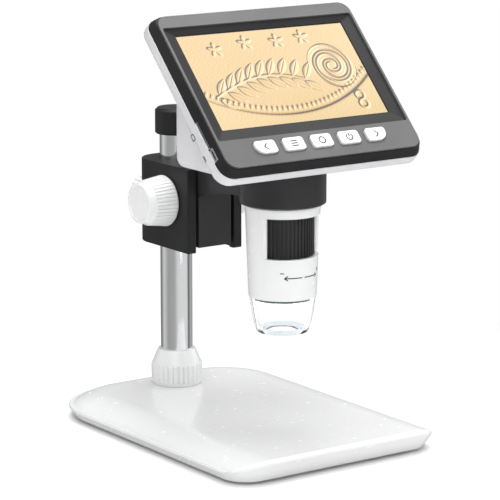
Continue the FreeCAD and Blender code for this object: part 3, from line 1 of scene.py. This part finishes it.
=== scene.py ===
"""Digital microscope with a tilted colour screen on a rack-focusing stand.

The sections follow the object from its base up to the head. The frame's axes are X across, Y towards
the column and Z up, with the origin under the middle of the base. Shapes are given in millimetres and
scaled by MM. Textures, lamps, floor and camera are in metres.
"""
import math
import bpy
import numpy as np
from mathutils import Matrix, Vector


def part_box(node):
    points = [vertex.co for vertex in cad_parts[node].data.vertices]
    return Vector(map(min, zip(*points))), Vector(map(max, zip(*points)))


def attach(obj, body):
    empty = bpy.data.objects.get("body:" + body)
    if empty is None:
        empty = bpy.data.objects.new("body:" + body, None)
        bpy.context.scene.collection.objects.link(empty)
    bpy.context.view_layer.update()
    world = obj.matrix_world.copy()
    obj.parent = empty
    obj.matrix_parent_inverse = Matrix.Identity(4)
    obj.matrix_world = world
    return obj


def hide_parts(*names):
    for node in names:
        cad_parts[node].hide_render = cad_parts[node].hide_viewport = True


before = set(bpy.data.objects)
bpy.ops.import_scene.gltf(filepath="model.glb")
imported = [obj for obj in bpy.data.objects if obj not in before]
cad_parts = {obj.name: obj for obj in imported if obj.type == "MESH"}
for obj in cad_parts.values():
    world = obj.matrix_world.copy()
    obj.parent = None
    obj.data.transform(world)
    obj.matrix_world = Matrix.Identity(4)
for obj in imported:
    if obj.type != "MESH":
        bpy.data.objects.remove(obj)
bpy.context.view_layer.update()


# Base cover
# A wide injection-moulded cover in glossy white plastic, crowned along its sides, closed below by
# a steel ballast plate and a black plate. The mould leaves a very fine orange peel in the gloss.
def start_material(name):
    """New material with its shader and an object-space coordinate node."""
    material = bpy.data.materials.new(name)
    material.use_nodes = True
    tree = material.node_tree
    shader = tree.nodes["Principled BSDF"]
    place = tree.nodes.new("ShaderNodeTexCoord")
    return material, tree, shader, place.outputs["Object"]


def add_noise(tree, place, size, detail=3.0, stretch=(1.0, 1.0, 1.0)):
    """Noise whose blotches are about `size` metres wide, times `stretch` along each axis."""
    mapping = tree.nodes.new("ShaderNodeMapping")
    mapping.inputs["Scale"].default_value = [1.0 / (size * s) for s in stretch]
    tree.links.new(place, mapping.inputs["Vector"])
    noise = tree.nodes.new("ShaderNodeTexNoise")
    noise.inputs["Scale"].default_value = 1.0
    noise.inputs["Detail"].default_value = detail
    tree.links.new(mapping.outputs["Vector"], noise.inputs["Vector"])
    return noise.outputs["Fac"]


def add_range(tree, value, low, high):
    """Stretch the part of a value from 0.25 to 0.75 onto low..high."""
    spread = tree.nodes.new("ShaderNodeMapRange")
    spread.inputs["From Min"].default_value = 0.25
    spread.inputs["From Max"].default_value = 0.75
    spread.inputs["To Min"].default_value = low
    spread.inputs["To Max"].default_value = high
    tree.links.new(value, spread.inputs["Value"])
    return spread.outputs["Result"]


def add_tint(tree, value, dark, light):
    """Colour that goes from dark where a value is 0.3 to light where it is 0.7."""
    ramp = tree.nodes.new("ShaderNodeValToRGB")
    ramp.color_ramp.elements[0].position = 0.3
    ramp.color_ramp.elements[0].color = (*dark, 1)
    ramp.color_ramp.elements[1].position = 0.7
    ramp.color_ramp.elements[1].color = (*light, 1)
    tree.links.new(value, ramp.inputs["Fac"])
    return ramp.outputs["Color"]


def add_bump(tree, shader, height, depth):
    """Surface relief of the given depth in metres."""
    bump = tree.nodes.new("ShaderNodeBump")
    bump.inputs["Distance"].default_value = depth
    bump.inputs["Strength"].default_value = 1.0
    tree.links.new(height, bump.inputs["Height"])
    tree.links.new(bump.outputs["Normal"], shader.inputs["Normal"])


def moulded_plastic(name, dark, light, smooth, rough, grain, depth, coat=0.0):
    """Moulded plastic: slow shade drift, uneven gloss and a fine texture from the mould."""
    material, tree, shader, place = start_material(name)
    drift = add_noise(tree, place, size=0.035, detail=2.0)
    texture = add_noise(tree, place, size=grain, detail=4.0)
    tree.links.new(add_tint(tree, drift, dark, light), shader.inputs["Base Color"])
    tree.links.new(add_range(tree, texture, smooth, rough), shader.inputs["Roughness"])
    shader.inputs["Coat Weight"].default_value = coat
    shader.inputs["Coat Roughness"].default_value = 0.12
    add_bump(tree, shader, texture, depth)
    return material


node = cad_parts


def dress(name, material):
    """Give a carried-over node its finish."""
    for slot in node[name].material_slots:
        slot.material = material


white_gloss = moulded_plastic(
    "white moulded plastic",
    dark=(0.812, 0.814, 0.819),
    light=(0.828, 0.83, 0.834),
    smooth=0.262, rough=0.276, grain=0.004, depth=0.0000004, coat=0.3,
)
dress("base_shell", white_gloss)

# Ballast, bottom plate and feet
# A stamped steel plate weighs the cover down, a black plate closes it from below, and four turned
# rubber feet are glued under that.
def set_constant(material, socket, value):
    """Set a number or colour that is the same all over, on the shader's own socket."""
    material.node_tree.nodes["Principled BSDF"].inputs[socket].default_value = value


steel = moulded_plastic(
    "plain steel",
    dark=(0.4, 0.4, 0.41),
    light=(0.5, 0.5, 0.5),
    smooth=0.3, rough=0.45, grain=0.0003, depth=0.000005,
)
set_constant(steel, "Metallic", 1.0)
black_plastic = moulded_plastic(
    "black moulded plastic",
    dark=(0.012, 0.012, 0.013),
    light=(0.02, 0.02, 0.021),
    smooth=0.36, rough=0.5, grain=0.0004, depth=0.00001,
)
rubber = moulded_plastic(
    "foot rubber",
    dark=(0.02, 0.02, 0.02),
    light=(0.03, 0.03, 0.03),
    smooth=0.7, rough=0.85, grain=0.0008, depth=0.00002,
)
set_constant(black_plastic, "Specular IOR Level", 0.22)
dress("ballast_plate", steel)
dress("bottom_plate", black_plastic)
dress("rubber_feet", rubber)

# Column
# A drawn steel tube, chromed and polished, with a threaded plug pressed into its foot for the bolt
# that comes up through the base.
MM = 0.001


def turned(name, profile, axis, turns=128):
    """Piece of revolution: every (radius, height) of a closed profile is carried round a vertical axis,
    x = axis x + radius cos a, y = axis y + radius sin a."""
    outline = np.array(profile) * MM
    angle = np.linspace(0, 2 * np.pi, turns, endpoint=False)
    x = axis[0] + outline[:, :1] * np.cos(angle)
    y = axis[1] + outline[:, :1] * np.sin(angle)
    z = np.repeat(outline[:, 1:], turns, axis=1)
    points = np.stack([x, y, z], axis=-1).reshape(-1, 3)
    ring, spoke = np.meshgrid(np.arange(len(outline)), np.arange(turns), indexing="ij")
    next_ring = (ring + 1) % len(outline)
    next_spoke = (spoke + 1) % turns
    corners = [
        ring * turns + spoke,
        ring * turns + next_spoke,
        next_ring * turns + next_spoke,
        next_ring * turns + spoke,
    ]
    faces = np.stack(corners, axis=-1).reshape(-1, 4)
    mesh = bpy.data.meshes.new(name)
    mesh.from_pydata(points.tolist(), [], faces.tolist())
    mesh.shade_smooth()
    mesh.set_sharp_from_angle(angle=math.radians(28))
    piece = bpy.data.objects.new(name, mesh)
    bpy.context.scene.collection.objects.link(piece)
    return piece


def node_middle(name):
    """Middle of a node's box seen from above."""
    low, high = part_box(name)
    return (low[0] + high[0]) / 2, (low[1] + high[1]) / 2


chrome, tree, shader, place = start_material("polished chrome")
haze = add_noise(tree, place, size=0.004, detail=4.0, stretch=(1.0, 1.0, 6.0))
chrome_tint = add_tint(tree, haze, dark=(0.86, 0.865, 0.875), light=(0.92, 0.925, 0.93))
tree.links.new(chrome_tint, shader.inputs["Base Color"])
tree.links.new(add_range(tree, haze, low=0.08, high=0.14), shader.inputs["Roughness"])
shader.inputs["Metallic"].default_value = 1.0
add_bump(tree, shader, haze, depth=0.000001)
column_inner, column_outer = 6.5, 8.0
column_foot, column_top = 12.5, 151.5
column = turned(
    "chromed_column",
    [
        (column_inner, column_foot),
        (column_outer, column_foot),
        (column_outer, column_top),
        (column_inner, column_top),
    ],
    node_middle("column_tube"),
)
column.data.materials.append(chrome)
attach(column, "stage_base")
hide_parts("column_tube")
for name in ("column_plug", "column_bolt"):
    dress(name, steel)

# Column cap and foot nut
# The cap is a black moulding pressed over the tube's top. The nut is moulded in the base's white with
# thirty grip grooves, and clamps the column's foot.
dress("column_cap", black_plastic)
dress("column_foot_nut", white_gloss)

# Focusing bracket, slider and knobs
# Matte black mouldings: the bracket clamps the column, and the slider runs in it on a rack. The white
# knobs are pressed on the ends of the steel pinion shaft, and a third one locks the bracket.
dress("column_bracket", black_plastic)
# A lighter, glossier copy of the black moulding: the higher gloss is real, the lighter colour is painted
# sheen.
painted_sheen_black = moulded_plastic(
    "black moulding with painted sheen",
    dark=(0.02, 0.02, 0.021),
    light=(0.034, 0.034, 0.035),
    smooth=0.3, rough=0.46, grain=0.0005, depth=0.000012,
)
set_constant(painted_sheen_black, "Specular IOR Level", 0.3)
dress("focus_slider", painted_sheen_black)
dress("pinion_shaft", steel)
for name in ("focus_knob_left", "focus_knob_right", "rear_lock_knob"):
    dress(name, white_gloss)

# Ring arm and neck
# The arm's ring holds the neck of the head so that it can turn. Both are black mouldings; the arm's is
# glossier, with a soft sheen from handling, and lighter in colour, which is painted sheen.
dress("ring_arm", painted_sheen_black)
dress("head_neck", black_plastic)

# Barrel and focus print
# A white moulded tube, open at the front for the focus wheel, printed in dark grey with a
# double-headed arrow and the two signs for the wheel's directions.
dress("barrel_shell", white_gloss)
lens_x, lens_y = node_middle("clear_cover")
print_ink = moulded_plastic(
    "grey print",
    dark=(0.02, 0.02, 0.021),
    light=(0.035, 0.035, 0.037),
    smooth=0.5, rough=0.65, grain=0.0003, depth=0.000002,
)


barrel_foot, barrel_taper_length = 74.7, 42.8
barrel_foot_radius, barrel_flare = 16.2, 1.7
barrel_arc_per_degree = 0.29
print_gap = 0.04


def ribbon(name, runs, width, surface, ink):
    """Flat print: each run of points is widened by half the width on both sides of its own direction,
    and `surface` carries the resulting plane points onto the piece."""
    points, faces = [], []
    for run in runs:
        line = np.array(run, float)
        ahead = np.gradient(line, axis=0)
        ahead /= np.linalg.norm(ahead, axis=1, keepdims=True)
        side = np.stack([-ahead[:, 1], ahead[:, 0]], axis=1) * width / 2
        start = sum(len(block) for block in points)
        both = np.stack([line - side, line + side], axis=1).reshape(-1, 2)
        points.append(surface(both))
        step = start + 2 * np.arange(len(line) - 1)
        faces.append(np.stack([step, step + 2, step + 3, step + 1], axis=1))
    mesh = bpy.data.meshes.new(name)
    mesh.from_pydata(np.concatenate(points).tolist(), [], np.concatenate(faces).tolist())
    mesh.materials.append(ink)
    piece = bpy.data.objects.new(name, mesh)
    bpy.context.scene.collection.objects.link(piece)
    return piece


def on_barrel(plane):
    """(Millimetres round from the front, height) onto the tapered barrel, just proud of its surface:
    x = axis x + radius sin a, y = axis y - radius cos a, with a the first divided by the arc per degree."""
    angle = np.radians(plane[:, 0] / barrel_arc_per_degree)
    height = plane[:, 1]
    rise = (height - barrel_foot) / barrel_taper_length
    radius = (barrel_foot_radius + barrel_flare * rise + print_gap) * MM
    x = lens_x + radius * np.sin(angle)
    y = lens_y - radius * np.cos(angle)
    return np.stack([x, y, height * MM], axis=1)


def straight(a, b, count=12):
    """Evenly spaced points from a to b."""
    return np.linspace(a, b, count)


print_height = 85.9
arrow_start, arrow_barb, arrow_tip = 0.7, 7.9, 9.6
barb_spread = 1.1
sign_near, sign_middle, sign_far = 9.8, 10.7, 11.6
sign_low, sign_level, sign_high = 1.5, 2.4, 3.3
arrow_stroke = 0.5
arrow_runs = []
for way in (-1, 1):
    tip = (way * arrow_tip, print_height)
    level = print_height + sign_level
    arrow_runs.append(straight((way * arrow_start, print_height), tip, 20))
    arrow_runs.append(straight((way * arrow_barb, print_height + barb_spread), tip))
    arrow_runs.append(straight((way * arrow_barb, print_height - barb_spread), tip))
    arrow_runs.append(straight((way * sign_near, level), (way * sign_far, level)))
arrow_runs.append(straight((sign_middle, print_height + sign_low), (sign_middle, print_height + sign_high)))
arrow = ribbon("focus_arrow_print", arrow_runs, arrow_stroke, on_barrel, print_ink)
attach(arrow, "head")

# Focus wheel and lens
# The wheel is a ribbed black ring round the aluminium guide tube; turning it moves the coated glass
# lenses in their carrier.
# The wheel shares the black whose lighter colour is painted sheen.
dress("focus_wheel", painted_sheen_black)
dress("lens_carrier", black_plastic)
anodised = moulded_plastic(
    "black anodised",
    dark=(0.02, 0.02, 0.022),
    light=(0.03, 0.03, 0.033),
    smooth=0.3, rough=0.4, grain=0.0002, depth=0.000003,
)
set_constant(anodised, "Metallic", 0.8)
dress("guide_tube", anodised)


def clear_material(name, dark, light, ior, smooth, rough):
    """Clear piece: a slight tint and gloss that drift across it."""
    material, tree, shader, place = start_material(name)
    drift = add_noise(tree, place, size=0.006, detail=3.0, stretch=(1.0, 1.0, 5.0))
    tree.links.new(add_tint(tree, drift, dark, light), shader.inputs["Base Color"])
    tree.links.new(add_range(tree, drift, smooth, rough), shader.inputs["Roughness"])
    shader.inputs["Transmission Weight"].default_value = 1.0
    shader.inputs["IOR"].default_value = ior
    add_bump(tree, shader, drift, depth=0.00002)
    return material


lens_glass = clear_material(
    "coated glass",
    dark=(0.8, 0.88, 0.92),
    light=(0.88, 0.94, 0.96),
    ior=1.52, smooth=0.01, rough=0.03,
)
for name in ("front_lens", "rear_lens"):
    dress(name, lens_glass)

# Lamp ring and clear cover
# Eight white lamps on a round green board light the stage through a turned-in cover of clear
# polycarbonate, set against the end of the barrel.
board_green = moulded_plastic(
    "circuit board",
    dark=(0.01, 0.09, 0.04),
    light=(0.015, 0.12, 0.05),
    smooth=0.3, rough=0.5, grain=0.001, depth=0.00001,
)
dress("lamp_board", board_green)
lamp_white = moulded_plastic(
    "lamp package",
    dark=(0.85, 0.82, 0.7),
    light=(0.92, 0.9, 0.8),
    smooth=0.3, rough=0.45, grain=0.0004, depth=0.000004,
)
set_constant(lamp_white, "Emission Color", (0.9, 0.95, 1.0, 1))
set_constant(lamp_white, "Emission Strength", 1.5)
dress("lamp_ring", lamp_white)
inner_wall = [(13.9, 74.7), (11.9, 62.2), (11.0, 59.6)]
mouth = [(9.0, 59.6), (9.0, 57.4), (9.2, 57.2)]
outer_wall = [(11.9, 57.2), (12.4, 57.8), (13.9, 62.2), (15.9, 74.7)]
cover = turned("clear_lamp_cover", inner_wall + mouth + outer_wall, (lens_x, lens_y))
polycarbonate = clear_material(
    "clear polycarbonate",
    dark=(0.9, 0.94, 0.97),
    light=(0.96, 0.98, 0.99),
    ior=1.58, smooth=0.02, rough=0.07,
)
cover.data.materials.append(polycarbonate)
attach(cover, "head")
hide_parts("clear_cover")

# Bezel and face panel
# The black bezel is moulded with a shallow funnel down to the screen. The panel laid over it is coloured
# a lighter grey than the black, which is a painted reflection of the sky on its sloping face, with a fine
# satin mottle.
dress("front_bezel", black_plastic)
# Lighter grey than the black moulding: painted reflection of the sky on the sloping face.
painted_reflection_face = moulded_plastic(
    "black face with painted reflection",
    dark=(0.08, 0.08, 0.082),
    light=(0.11, 0.11, 0.112),
    smooth=0.4, rough=0.56, grain=0.0005, depth=0.000008,
)
dress("face_panel", painted_reflection_face)

# Screen
# A colour panel behind the bezel. It shows a gold relief of its own design: a beaded rim, a sprig
# of leaves, a scroll, small stars and the numeral 8.
tilt = math.radians(45.6)
screen_middle_height = 179.5
screen_half_width, screen_half_height = 47.52, 26.93
screen_gap = 0.05


def on_head(across, up, out):
    """Millimetres across, up and out of the screen's plane into the frame:
    y = lens y + up cos tilt - out sin tilt, z = middle height + up sin tilt + out cos tilt."""
    y = lens_y + (up * np.cos(tilt) - out * np.sin(tilt)) * MM
    z = (screen_middle_height + up * np.sin(tilt) + out * np.cos(tilt)) * MM
    return np.stack([across * MM + 0 * y, y, z], axis=-1)


def leaf(across, up, middle, length, width, turn):
    """Height of one pointed leaf: a dome whose half width is the width times one less the square of
    along / length, with a groove along its rib."""
    along = (across - middle[0]) * np.cos(turn) + (up - middle[1]) * np.sin(turn)
    aside = (up - middle[1]) * np.cos(turn) - (across - middle[0]) * np.sin(turn)
    half = width * np.clip(1 - (along / length) ** 2, 0, 1)
    dome = np.sqrt(np.clip(1 - (aside / (half + 1e-6)) ** 2, 0, 1)) * (half > 0)
    return dome * 1.2 - 0.5 * np.exp(-(aside / 0.35) ** 2) * (dome > 0)


columns, rows = 400, 227
across, up = np.meshgrid(
    np.linspace(-screen_half_width, screen_half_width, columns),
    np.linspace(-screen_half_height, screen_half_height, rows),
)
# Ground of the relief: two crossing fine waves.
relief = 0.035 * np.sin(across * 2.9 + 2 * np.sin(up * 0.9)) * np.sin(up * 2.3 + 2 * np.sin(across * 0.7))
# Rim: a step along a wide arc, with a row of beads inside it.
rim_x, rim_y, rim_radius = -4, 62, 84
bead_radius, bead_width = 80.5, 1.1
rim_distance = np.hypot(across - rim_x, up - rim_y)
relief += 1.6 / (1 + np.exp((rim_distance - rim_radius) * -3))
bead_run = np.arctan2(up - rim_y, across - rim_x) * bead_radius
bead_row = np.exp(-((rim_distance - bead_radius) / bead_width) ** 2)
relief += 1.1 * bead_row * np.clip(0.4 + np.cos(bead_run * 2.2), 0, 1)
# Sprig: pairs of leaves on a stem that follows part of a sine.
stem_left, stem_level, stem_swing = -40, -8, 9
leaf_pitch, leaf_bend = 6.4, 0.32
leaf_ahead, leaf_aside = 3.4, 4.6
for number in range(9):
    stem_x = stem_left + leaf_pitch * number
    stem_y = stem_level + stem_swing * math.sin(number * leaf_bend)
    for way in (-1, 1):
        middle = (stem_x + leaf_ahead, stem_y + way * leaf_aside)
        relief += leaf(across, up, middle, length=5.6, width=2.3, turn=way * 0.8 + 0.15)
stem_line = stem_level + stem_swing * np.sin((across - stem_left) / leaf_pitch * leaf_bend)
relief += np.exp(-((up - stem_line) / 0.6) ** 2) * (across < 12) * (across > -42)
# Scroll: a spiral ridge and groove between two circles.
scroll_x, scroll_y = 30, 3
scroll_inner, scroll_outer = 1.5, 13
scroll_radius = np.hypot(across - scroll_x, up - scroll_y)
scroll_turn = np.arctan2(up - scroll_y, across - scroll_x)
in_scroll = (scroll_radius < scroll_outer) * (scroll_radius > scroll_inner)
relief += 1.3 * np.cos(scroll_radius * 1.15 - scroll_turn) ** 5 * in_scroll
# Four small five-pointed stars, and the numeral 8 as two rings.
for star_x, star_y in ((-30, 18), (-12, 20.5), (6, 20), (21, 21)):
    reach = np.hypot(across - star_x, up - star_y)
    points = 2.8 + 1.2 * np.cos(5 * np.arctan2(up - star_y, across - star_x) - np.pi / 2)
    relief += 1.2 / (1 + np.exp((reach - points) * 4))
numeral_x, loop_radius, loop_width = 37, 2.3, 0.65
for loop_y in (-15.4, -20.4):
    relief += 1.3 * np.exp(-((np.hypot(across - numeral_x, up - loop_y) - loop_radius) / loop_width) ** 2)
# Light from the lower right shades the slopes from dark brown over gold to pale gold, and steep ones darker.
slope_up, slope_across = np.gradient(relief, up[1, 0] - up[0, 0], across[0, 1] - across[0, 0])
steep = np.clip(np.hypot(slope_up, slope_across) - 0.35, 0, 2)
shade = np.clip(0.68 - 0.5 * slope_across + 0.35 * slope_up - 0.42 * steep + 0.05 * relief, 0, 1)[..., None]
dark_gold = np.array((0.035, 0.014, 0.005))
mid_gold = np.array((0.7, 0.43, 0.12))
pale_gold = np.array((0.93, 0.76, 0.42))
middle_shade = 0.55
lower = dark_gold + (mid_gold - dark_gold) * np.clip(shade / middle_shade, 0, 1)
upper = mid_gold + (pale_gold - mid_gold) * np.clip((shade - middle_shade) / 0.45, 0, 1)
picture = np.where(shade < middle_shade, lower, upper)
screen_mesh = bpy.data.meshes.new("screen_picture")
row, step = np.meshgrid(np.arange(rows - 1), np.arange(columns - 1), indexing="ij")
first = (row * columns + step).reshape(-1)
quads = np.stack([first, first + 1, first + columns + 1, first + columns], axis=1)
screen_mesh.from_pydata(on_head(across, up, screen_gap + 0 * up).reshape(-1, 3).tolist(), [], quads.tolist())
tone = screen_mesh.color_attributes.new("picture", "FLOAT_COLOR", "POINT")
tone.data.foreach_set("color", np.concatenate([picture, np.ones_like(shade)], axis=-1).ravel())
screen = bpy.data.objects.new("screen_picture", screen_mesh)
bpy.context.scene.collection.objects.link(screen)
screen_material, tree, shader, place = start_material("lit screen")
tone_node = tree.nodes.new("ShaderNodeAttribute")
tone_node.attribute_name = "picture"
tree.links.new(tone_node.outputs["Color"], shader.inputs["Emission Color"])
shader.inputs["Base Color"].default_value = (0.01, 0.01, 0.01, 1)
shader.inputs["Emission Strength"].default_value = 0.95
film = add_noise(tree, place, size=0.02, detail=2.0)
tree.links.new(add_range(tree, film, low=0.1, high=0.16), shader.inputs["Roughness"])
screen_mesh.materials.append(screen_material)
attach(screen, "head")
dress("display_module", black_plastic)

# Keys
# Five white moulded keys stand through the face panel, each printed with a plain symbol: back, menu,
# confirm, power and forward.
key_row = -40.3
key_pitch = 15.8
key_top = 3.6
symbol_scale = 1.2
symbol_stroke = 0.62
ring_angle = np.linspace(0, 2 * np.pi, 40)
power_angle = np.linspace(math.radians(125), math.radians(415), 34)
symbols = {
    "left": [straight((0.8, 1.5), (-0.8, 0)), straight((-0.8, 0), (0.8, -1.5))],
    "menu": [straight((-1.5, height), (1.5, height)) for height in (-1.1, 0, 1.1)],
    "confirm": [np.stack([1.4 * np.cos(ring_angle), 1.4 * np.sin(ring_angle)], axis=1)],
    "power": [
        np.stack([1.4 * np.cos(power_angle), 1.4 * np.sin(power_angle)], axis=1),
        straight((0, 0.2), (0, 1.8)),
    ],
    "right": [straight((-0.8, 1.5), (0.8, 0)), straight((0.8, 0), (-0.8, -1.5))],
}
middle_place = 2
for place_in_row, (name, runs) in enumerate(symbols.items()):
    dress("button_" + name, white_gloss)
    key_middle = (place_in_row - middle_place) * key_pitch

    def on_key(plane):
        """Plane of one symbol onto its key, just proud of the top."""
        out = key_top + print_gap + 0 * plane[:, 0]
        return on_head(plane[:, 0] + key_middle, plane[:, 1] + key_row, out)

    scaled_runs = [symbol_scale * np.asarray(run) for run in runs]
    symbol = ribbon("symbol_" + name, scaled_runs, symbol_stroke, on_key, print_ink)
    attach(symbol, "key_" + name)

# Electronics and sockets
# Green boards, a foil-wrapped cell and plated sockets sit inside the head. Only the mouths of the
# two sockets show, in its left side.
for name in ("main_board", "button_board", "sensor_board"):
    dress(name, board_green)
foil = moulded_plastic(
    "battery foil",
    dark=(0.5, 0.5, 0.52),
    light=(0.6, 0.6, 0.61),
    smooth=0.3, rough=0.5, grain=0.002, depth=0.00003,
)
dress("battery", foil)
for name in ("card_socket", "power_socket"):
    dress(name, steel)

# Rear housing
# The pale back half of the head is moulded in white and closes against the back of the bezel; it is coloured
# a darker grey-white than the other white mouldings, which is painted shade. A small outline of a card
# and the sign for direct current are printed beside the sockets.
# A darker, satin copy of the white moulding: the satin gloss is real, the darker colour is painted shade.
painted_shade_white = moulded_plastic(
    "white with painted shade",
    dark=(0.62, 0.62, 0.635),
    light=(0.68, 0.68, 0.69),
    smooth=0.34, rough=0.46, grain=0.0006, depth=0.000006, coat=0.1,
)
dress("rear_housing", painted_shade_white)
side_runs = [
    straight((-25.0, -9.2), (-22.0, -9.2)),
    straight((-22.0, -9.2), (-22.0, -7.8)),
    straight((-22.0, -7.8), (-22.8, -7.0)),
    straight((-22.8, -7.0), (-25.0, -7.0)),
    straight((-25.0, -7.0), (-25.0, -9.2)),
    straight((-37.6, -7.2), (-34.6, -7.2)),
    straight((-37.6, -8.0), (-36.9, -8.0), 4),
    straight((-36.5, -8.0), (-35.7, -8.0), 4),
    straight((-35.3, -8.0), (-34.6, -8.0), 4),
]
side_face = -57.95
side_stroke = 0.5


def on_side(plane):
    """(Up the screen, out of it) into the plane of the housing's left side, just proud of its flat part.
    The side rounds off behind the print, so the print's rear edge stands up to 1.8 mm off it."""
    across = side_face - print_gap + 0 * plane[:, 0]
    return on_head(across, plane[:, 0], plane[:, 1])


side_print = ribbon("side_prints", side_runs, side_stroke, on_side, print_ink)
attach(side_print, "head")

# Floor, lights and camera
# A pale seamless floor under broad lamps: one above the front left, a weaker one on the right and the
# strongest overhead. The camera is at the front left, 1.25 metres from the barrel, looking 12 degrees down.
floor_mesh = bpy.data.meshes.new("floor")
edge = 30
floor_corners = [(-edge, -edge, 0), (edge, -edge, 0), (edge, edge, 0), (-edge, edge, 0)]
floor_mesh.from_pydata(floor_corners, [], [(0, 1, 2, 3)])
floor = bpy.data.objects.new("floor", floor_mesh)
bpy.context.scene.collection.objects.link(floor)
floor_material, tree, shader, place = start_material("pale floor")
shader.inputs["Base Color"].default_value = (0.9, 0.9, 0.9, 1)
shader.inputs["Roughness"].default_value = 0.6
shader.inputs["Specular IOR Level"].default_value = 0.2
# The camera sees the floor with its shadow within 0.1 metres of the middle, and plain white from 0.28 on.
shown_radius, white_radius = 0.1, 0.28
reach = tree.nodes.new("ShaderNodeVectorMath")
reach.operation = "LENGTH"
tree.links.new(place, reach.inputs[0])
fade = tree.nodes.new("ShaderNodeMapRange")
fade.interpolation_type = "SMOOTHSTEP"
fade.inputs["From Min"].default_value = shown_radius
fade.inputs["From Max"].default_value = white_radius
tree.links.new(reach.outputs["Value"], fade.inputs["Value"])
view = tree.nodes.new("ShaderNodeLightPath")
seen_part = tree.nodes.new("ShaderNodeMath")
seen_part.operation = "MULTIPLY"
tree.links.new(fade.outputs["Result"], seen_part.inputs[0])
tree.links.new(view.outputs["Is Camera Ray"], seen_part.inputs[1])
backdrop = tree.nodes.new("ShaderNodeEmission")
blend = tree.nodes.new("ShaderNodeMixShader")
tree.links.new(seen_part.outputs["Value"], blend.inputs["Fac"])
tree.links.new(shader.outputs["BSDF"], blend.inputs[1])
tree.links.new(backdrop.outputs["Emission"], blend.inputs[2])
tree.links.new(blend.outputs["Shader"], tree.nodes["Material Output"].inputs["Surface"])
floor_mesh.materials.append(floor_material)
floor.visible_glossy = False


def add_lamp(name, place, aim, width, height, power):
    """Rectangular soft lamp at a place, turned to face its aim."""
    light = bpy.data.lights.new(name, "AREA")
    light.shape = "RECTANGLE"
    light.size = width
    light.size_y = height
    light.energy = power
    lamp = bpy.data.objects.new(name, light)
    lamp.location = place
    away = np.subtract(place, aim)
    lamp.rotation_euler = Vector(away).to_track_quat("Z", "Y").to_euler()
    bpy.context.scene.collection.objects.link(lamp)


add_lamp("key lamp", place=(-0.7, -0.6, 1.1), aim=(0, 0, 0.1), width=1.0, height=1.0, power=9.0)
add_lamp("side lamp", place=(1.1, -0.3, 0.7), aim=(0, 0, 0.1), width=0.6, height=1.2, power=3.8)
add_lamp("top lamp", place=(0.25, 0.1, 1.4), aim=(0, 0, 0), width=1.2, height=1.2, power=20.0)

# The object is lit by, and reflects, a ring of grey panels with darker gaps. It is fixed in the world, and
# its turn was chosen to suit the photograph's viewing direction. Seen directly or through clear pieces,
# the world is plain white.
ring_turn, ring_strength = -234.7, 0.72
world = bpy.data.worlds.new("studio")
world.use_nodes = True
bpy.context.scene.world = world
world_tree = world.node_tree
sky = world_tree.nodes["Background"]
direction = world_tree.nodes.new("ShaderNodeTexCoord")
turn = world_tree.nodes.new("ShaderNodeMapping")
turn.inputs["Rotation"].default_value = (0, 0, math.radians(ring_turn))
round_studio = world_tree.nodes.new("ShaderNodeTexGradient")
round_studio.gradient_type = "RADIAL"
bands = world_tree.nodes.new("ShaderNodeValToRGB")
stops = (
    (0.0, 0.35), (0.144, 0.3), (0.222, 0.9), (0.333, 0.5), (0.467, 0.55), (0.533, 0.95),
    (0.578, 1.0), (0.739, 1.0), (0.756, 0.25), (0.794, 0.25), (0.833, 0.6), (1.0, 0.35),
)
while len(bands.color_ramp.elements) < len(stops):
    bands.color_ramp.elements.new(0.5)
for element, (where, grey) in zip(bands.color_ramp.elements, stops):
    element.position = where
    element.color = (grey, grey, grey, 1)
world_tree.links.new(direction.outputs["Generated"], turn.inputs["Vector"])
world_tree.links.new(turn.outputs["Vector"], round_studio.inputs["Vector"])
world_tree.links.new(round_studio.outputs["Fac"], bands.inputs["Fac"])
world_tree.links.new(bands.outputs["Color"], sky.inputs["Color"])
sky.inputs["Strength"].default_value = ring_strength
seen = world_tree.nodes.new("ShaderNodeBackground")
seen.inputs["Strength"].default_value = 1.0
seen.inputs["Color"].default_value = (1, 1, 1, 1)
path = world_tree.nodes.new("ShaderNodeLightPath")
either = world_tree.nodes.new("ShaderNodeMath")
either.operation = "MAXIMUM"
world_tree.links.new(path.outputs["Is Camera Ray"], either.inputs[0])
world_tree.links.new(path.outputs["Is Transmission Ray"], either.inputs[1])
mix = world_tree.nodes.new("ShaderNodeMixShader")
world_tree.links.new(either.outputs["Value"], mix.inputs["Fac"])
world_tree.links.new(sky.outputs["Background"], mix.inputs[1])
world_tree.links.new(seen.outputs["Background"], mix.inputs[2])
world_tree.links.new(mix.outputs["Shader"], world_tree.nodes["World Output"].inputs["Surface"])

camera_data = bpy.data.cameras.new("camera")
camera_data.sensor_width = 36.0
focal_pixels, image_pixels = 2635.8, 500.0
from_left, from_front, camera_height = -0.71786, -0.98685, 0.35222
look_down, look_right = 11.849, 35.309
camera_data.lens = focal_pixels * camera_data.sensor_width / image_pixels
camera_data.clip_start = 0.01
camera_data.clip_end = 100.0
camera = bpy.data.objects.new("camera", camera_data)
camera.location = (from_left, lens_y + from_front, camera_height)
camera.rotation_euler = (math.radians(90 - look_down), 0, -math.radians(look_right))
bpy.context.scene.collection.objects.link(camera)
bpy.context.scene.camera = camera
bpy.context.scene.view_settings.view_transform = "Standard"
